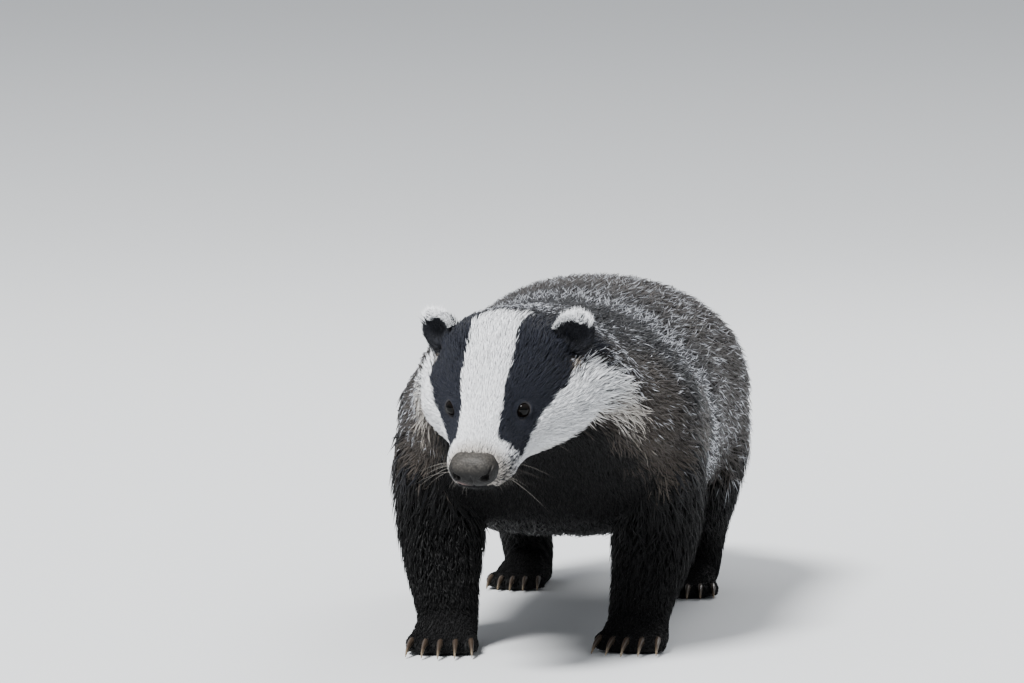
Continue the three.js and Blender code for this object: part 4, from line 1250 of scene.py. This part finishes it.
def whiskers(tree):
    """Fine stiff hairs that stand out and droop, some dark and some pale."""
    roots, aims, lengths = [], [], []
    for count, middle, spread, way, length in WHISKERS:
        for side in (1, -1):
            for _ in range(count):
                root = np.array(middle) + draw.uniform(-1, 1, 3) * spread
                aim = np.array(way) + draw.normal(0, 0.18, 3)
                roots.append(in_head(*(root * (side, 1, 1))))
                aims.append(head_axis(*(aim * (side, 1, 1))))
                lengths.append(length * draw.uniform(0.55, 1.1))
    aims, lengths = np.array(aims), np.array(lengths)[:, None]
    on, out = nearest_on(tree, np.array(roots))
    steps = (0, 0.25, 0.5, 0.75, 1)
    droop = np.array((0, 0.25, -0.35))
    spots = [on - out + (aims * t + droop * t * t + out * 0.3 * t) * lengths for t in steps]
    dark = draw.uniform(size=(len(on), 1)) < 0.6
    colour = np.where(dark, linear("2a2623", 0), linear("85817b", 0))
    look = (np.full(len(on), WHISKER_WIDE), colour, head_places(on)[:, :2])
    return strands("whiskers", spots, [out] * 5, steps, (1, 0.85, 0.6, 0.35), *look)


# Materials

# A pattern's scale counts its cells in a metre
PER_MM = 1000
MARKING = ("Attribute", {"attribute_name": "marking"})


def wire(node, **inputs):
    """Sets a node's inputs to values, or links them to sockets or to the first outputs of nodes."""
    for key, value in inputs.items():
        socket = node.inputs[int(key[1:])] if key[1:].isdigit() else node.inputs[key.replace("_", " ")]
        if isinstance(value, bpy.types.Node):
            value = value.outputs[0]
        if isinstance(value, bpy.types.NodeSocket):
            node.id_data.links.new(value, socket)
        else:
            socket.default_value = value
    return node


def add(tree, kind, settings=(), **inputs):
    """Adds a shader node with its settings and inputs, each given by its name, or as i and its number."""
    node = tree.nodes.new("ShaderNode" + kind)
    for key, value in dict(settings).items():
        setattr(node, key, value)
    return wire(node, **inputs)


def material(name, **values):
    """A new principled material, its nodes and its shader, with plain values on the shader's sockets."""
    made = bpy.data.materials.new(name)
    made.use_nodes = True
    tree = made.node_tree
    shader = wire(tree.nodes["Principled BSDF"], **values)
    return made, tree, shader


def studio_paper():
    """Matt paper: a faint fibre about 1 mm long breaks its light, and it has no gloss."""
    made, tree, shader = material("matt_studio_paper", Roughness=0.92, Specular_IOR_Level=0.2)
    where = add(tree, "TexCoord").outputs["Object"]
    fibre = add(tree, "TexNoise", Vector=where, Scale=0.9 * PER_MM, Detail=3.0)
    tones = dict(i6=linear("d3d5d6"), i7=linear("d9dbdc"))
    tone = add(tree, "Mix", {"data_type": "RGBA"}, i0=fibre, **tones)
    wire(shader, Base_Color=tone.outputs[2])
    return made


def grained(tree, colour, grain, low, high):
    """A colour made darker and lighter by a grain from 0 to 1."""
    span = add(tree, "MapRange", Value=grain, From_Min=0.3, From_Max=0.7, To_Min=low, To_Max=high)
    return add(tree, "VectorMath", {"operation": "SCALE"}, i0=colour, Scale=span)


def badger_skin():
    """Skin under fur: matt, with flecks of short hair along it and low folds, in the coat's colour there.

    The flecks are 0.7 mm across, coarser than real short hair, so that they show.
    """
    made, tree, shader = material("badger_skin", Roughness=0.75, Specular_IOR_Level=0.3)
    where = add(tree, "TexCoord").outputs["Object"]
    down = add(tree, "TexNoise", Vector=where, Scale=1.5 * PER_MM, Detail=3.0)
    folds = add(tree, "TexNoise", Vector=where, Scale=0.26 * PER_MM, Detail=2.0)
    fold = add(tree, "Bump", Height=folds, Strength=0.3, Distance=0.0008)
    bump = add(tree, "Bump", Height=down, Strength=0.5, Distance=0.0003, Normal=fold)
    wire(shader, Base_Color=grained(tree, add(tree, *MARKING), down, 0.7, 1.1), Normal=bump)
    return made


def nose_leather():
    """Nose skin: damp, with rounded pebbles and creases between them, drawn 1.5 mm across to show, and
    painted shade in the creases.
    """
    gloss = dict(Coat_Weight=0.05, Coat_Roughness=0.4, Specular_IOR_Level=0.22)
    made, tree, shader = material("nose_leather", **gloss)
    where = add(tree, "TexCoord").outputs["Object"]
    pebble = add(tree, "TexVoronoi", {"feature": "F1"}, Vector=where, Scale=0.66 * PER_MM)
    blotch = add(tree, "TexNoise", Vector=where, Scale=0.24 * PER_MM, Detail=3.0)
    # The marking carries the pad's painted light and shade, here mottled by blotches
    mottled_with_painted_light = grained(tree, add(tree, *MARKING), blotch, 0.55, 1.3)
    # Painted shade: the colour darkens towards the creases between the pebbles
    ends = dict(From_Min=0.35, From_Max=0.8, To_Min=1.06, To_Max=0.6)
    crease_shade = add(tree, "MapRange", Value=pebble, **ends)
    final = add(tree, "VectorMath", {"operation": "SCALE"}, i0=mottled_with_painted_light, Scale=crease_shade)
    damp = add(tree, "MapRange", Value=blotch, To_Min=0.4, To_Max=0.75)
    bump = add(tree, "Bump", {"invert": True}, Height=pebble, Strength=0.55, Distance=0.0005)
    wire(shader, Base_Color=final, Roughness=damp, Normal=bump)
    return made


def wet_eye():
    """A wet eye: the dark iris and pupil lie under a clear, sharply shining cornea."""
    cornea = dict(Specular_IOR_Level=0.0, Coat_Weight=0.5, Coat_Roughness=0.01, Coat_IOR=1.36)
    made, tree, shader = material("wet_eye", **cornea)
    where = add(tree, "TexCoord").outputs["Object"]
    fleck = add(tree, "TexNoise", Vector=where, Scale=1.8 * PER_MM, Detail=2.0)
    wire(shader, Base_Color=grained(tree, add(tree, *MARKING), fleck, 0.7, 1.4))
    return made


def claw_horn():
    """Claw horn: lengthwise streaks 0.6 mm wide and a dull polish, worn paler to the tip."""
    made, tree, shader = material("claw_horn", Roughness=0.42, Coat_Weight=0.1)
    where = add(tree, "TexCoord").outputs["Object"]
    fine = tuple(v * PER_MM for v in (1.7, 0.16, 0.5))
    drawn = add(tree, "VectorMath", {"operation": "MULTIPLY"}, i0=where, i1=fine)
    streak = add(tree, "TexNoise", Vector=drawn, Scale=1.0, Detail=3.0)
    bump = add(tree, "Bump", Height=streak, Strength=0.4, Distance=0.0002)
    wire(shader, Base_Color=grained(tree, add(tree, *MARKING), streak, 0.7, 1.25), Normal=bump)
    return made


def hair_material(name, streaks, roughness, tip, speckle, root_shade):
    """Fur as strands: streaked along each tuft, with painted shade towards the root where tufts crowd, pale
    past the tip.
    """
    look = dict(Roughness=roughness, Sheen_Weight=0.02, Specular_IOR_Level=0.2)
    made, tree, shader = material(name, **look)
    mark = add(tree, *MARKING)
    paleness = mark.outputs["Alpha"]
    hair = add(tree, "UVMap", {"uv_map": "hair"})
    along = add(tree, "SeparateXYZ", Vector=hair).outputs["Y"]
    wide = add(tree, "VectorMath", {"operation": "MULTIPLY"}, i0=hair, i1=(streaks, 0.6, 1))
    noise = add(tree, "TexNoise", Vector=wide, Scale=1.0, Detail=2.0)
    # The pale tip starts at a ragged place, nearer the root on a paler tuft
    ragged = add(tree, "Math", {"operation": "MULTIPLY_ADD"}, i0=noise, i1=0.22, i2=along)
    ragged = add(tree, "Math", {"operation": "MULTIPLY_ADD"}, i0=paleness, i1=0.13, i2=ragged)
    ends = dict(From_Min=tip, From_Max=tip + 0.12)
    tipped = add(tree, "MapRange", {"interpolation_type": "SMOOTHSTEP"}, Value=ragged, **ends)
    share = add(tree, "Math", {"operation": "MULTIPLY"}, i0=tipped, i1=paleness)
    both = dict(i6=mark, i7=linear(HAIR["tip"]))
    colour = add(tree, "Mix", {"data_type": "RGBA"}, i0=share, **both).outputs[2]
    streaked = grained(tree, colour, noise, 1 - speckle, 1 + speckle)
    # Painted shade: each tuft darkens towards its root, to the given share of its colour there
    shade = add(tree, "MapRange", Value=along, From_Max=0.75, To_Min=root_shade)
    final = add(tree, "VectorMath", {"operation": "SCALE"}, i0=streaked, Scale=shade)
    bump = add(tree, "Bump", Height=noise, Strength=0.4, Distance=0.0002)
    wire(shader, Base_Color=final, Normal=bump)
    return made


def paint_nose(obj):
    """Olive grey, with painted light making it paler on top, painted shade making it darker low down and in
    the nostrils, and pink low on its right.
    """
    x, y, z = apply(PAD_FRAME.inverted(), local(places(obj))).T
    # Painted light and shade: paler towards the top of the pad, near black low down
    colour = mixed("080706", "403d39", smooth(2.5, 12, z))
    colour = mixed(colour, "8d6a64", 0.75 * hump(x, -9, 4) * hump(z, -7.5, 2.6))
    # Painted shade in the nostrils
    for sign in (1, -1):
        far = np.hypot((x - sign * NOSTRIL["aside"]) / 4.6, (z - NOSTRIL["level"]) / 4)
        colour = mixed(colour, "0f0d0c", smooth(1.15, 0.7, far) * (y < 4))
    paint(obj, colour)


def paint_eye(obj, side):
    """A black pupil, a nearly black iris and a dark rim."""
    x, y, z = apply(on_side(EYE_FRAME, side).inverted(), local(places(obj))).T
    r = np.where(z > 0, np.hypot(x, y), 9)
    paint(obj, mixed(mixed("020202", "0b0705", smooth(2.8, 3.3, r)), "171311", smooth(4.6, 5.4, r)))


def paint_claws(obj, foot):
    """Horn, pale low down at the tip and dark at the toe."""
    z = local(places(obj))[:, 2]
    paint(obj, mixed("98876d", "3a3027", smooth(0.5, foot["toe_wide"] * 0.75, z)))


# Camera, light and floor

CAMERA = dict(azimuth=9, elevation=5, lens=200, distance=4.06, aside=0.02855, above=0.0931)


def camera():
    """At the photo's angle, aimed at the nose and then moved across and up to the photo's framing."""
    low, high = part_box("nose")
    target = Vector(((low.x + high.x) / 2, low.y + 0.003, (low.z + high.z) / 2))
    a, e = math.radians(CAMERA["azimuth"]), math.radians(CAMERA["elevation"])
    back = Vector((math.sin(a) * math.cos(e), -math.cos(a) * math.cos(e), math.sin(e)))
    right = Vector((math.cos(a), math.sin(a), 0))
    up = back.cross(right)
    data = bpy.data.cameras.new("camera")
    data.lens = CAMERA["lens"]
    data.sensor_width = 36
    data.clip_end = 1000
    obj = bpy.data.objects.new("camera", data)
    bpy.context.scene.collection.objects.link(obj)
    where = target + back * CAMERA["distance"] + right * CAMERA["aside"] + up * CAMERA["above"]
    obj.matrix_world = framed(right, up, back, where)
    bpy.context.scene.camera = obj


def soft_box(name, where, aim, size, watts):
    """A round lamp that faces a point."""
    data = bpy.data.lights.new(name, "AREA")
    data.shape = "DISK"
    data.size = size
    data.energy = watts
    obj = bpy.data.objects.new(name, data)
    bpy.context.scene.collection.objects.link(obj)
    obj.location = where
    obj.rotation_euler = (Vector(aim) - Vector(where)).to_track_quat("-Z", "Y").to_euler()


def studio():
    """A plain floor under a soft sky that is darker near the horizon, with a high key and a low rim light."""
    bpy.ops.mesh.primitive_plane_add(size=300)
    floor = bpy.context.object
    floor.name = "studio_floor"
    floor.data.materials.append(studio_paper())
    sky = bpy.data.worlds.new("studio")
    bpy.context.scene.world = sky
    sky.use_nodes = True
    tree = sky.node_tree
    way = add(tree, "TexCoord").outputs["Generated"]
    rise = add(tree, "SeparateXYZ", Vector=way).outputs["Z"]
    span = add(tree, "MapRange", Value=rise, From_Max=0.8)
    tones = dict(i6=linear("7b8088"), i7=linear("f4f6fa"))
    dome = add(tree, "Mix", {"data_type": "RGBA"}, i0=span, **tones).outputs[2]
    wire(tree.nodes["Background"], Color=dome, Strength=0.95)
    soft_box("key", (-3.0, -6.2, 9.2), (0, -0.2, 0.15), 3.3, 2950)
    soft_box("rim", (0.9, 2.4, 2.4), (0, 0.1, 0.2), 1.4, 50)


# The whole scene

camera()
studio()
body = skin()
fields = skin_fields(body)
lid = smooth(1.3, 1.1, fields["clear"]) * smooth(0.85, 1.0, fields["clear"])
skin_colour = mixed(hair_colour(markings(fields), 0.5), "2b2a2c", lid)
skin_colour[:, 3] = 1
paint(body, skin_colour)
finish(body, badger_skin())
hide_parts(*[n for n in frame["nodes"] if not n.startswith(("eye", "nose"))])
face_fur = hair_material("short_face_hair", 5.0, 0.6, 0.7, 0.06, 0.92)
guard_fur = hair_material("long_guard_hair", 9.0, 0.5, 0.9, 0.2, 0.3)
for part, piece in coat_pieces(body, fields):
    finish(piece, face_fur if part in ("head", "ears", "paws") else guard_fur)
finish(whiskers(BVHTree.FromObject(body, bpy.context.evaluated_depsgraph_get())), face_fur)
for side in (1, -1):
    finish(fringe(side), face_fur)
pad = nose_pad()
paint_nose(pad)
finish(pad, nose_leather())
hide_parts("nose")
eye_shine = wet_eye()
for side, label in ((1, "left"), (-1, "right")):
    eye = eyeball(side)
    paint_eye(eye, side)
    finish(eye, eye_shine)
    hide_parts("eye_" + label)
horn = claw_horn()
for (_, foot, sole), label in zip(LIMBS, ("fore_left", "fore_right", "hind_left", "hind_right")):
    claw_set = claws(foot, sole, "claws_" + label)
    paint_claws(claw_set, foot)
    finish(claw_set, horn)
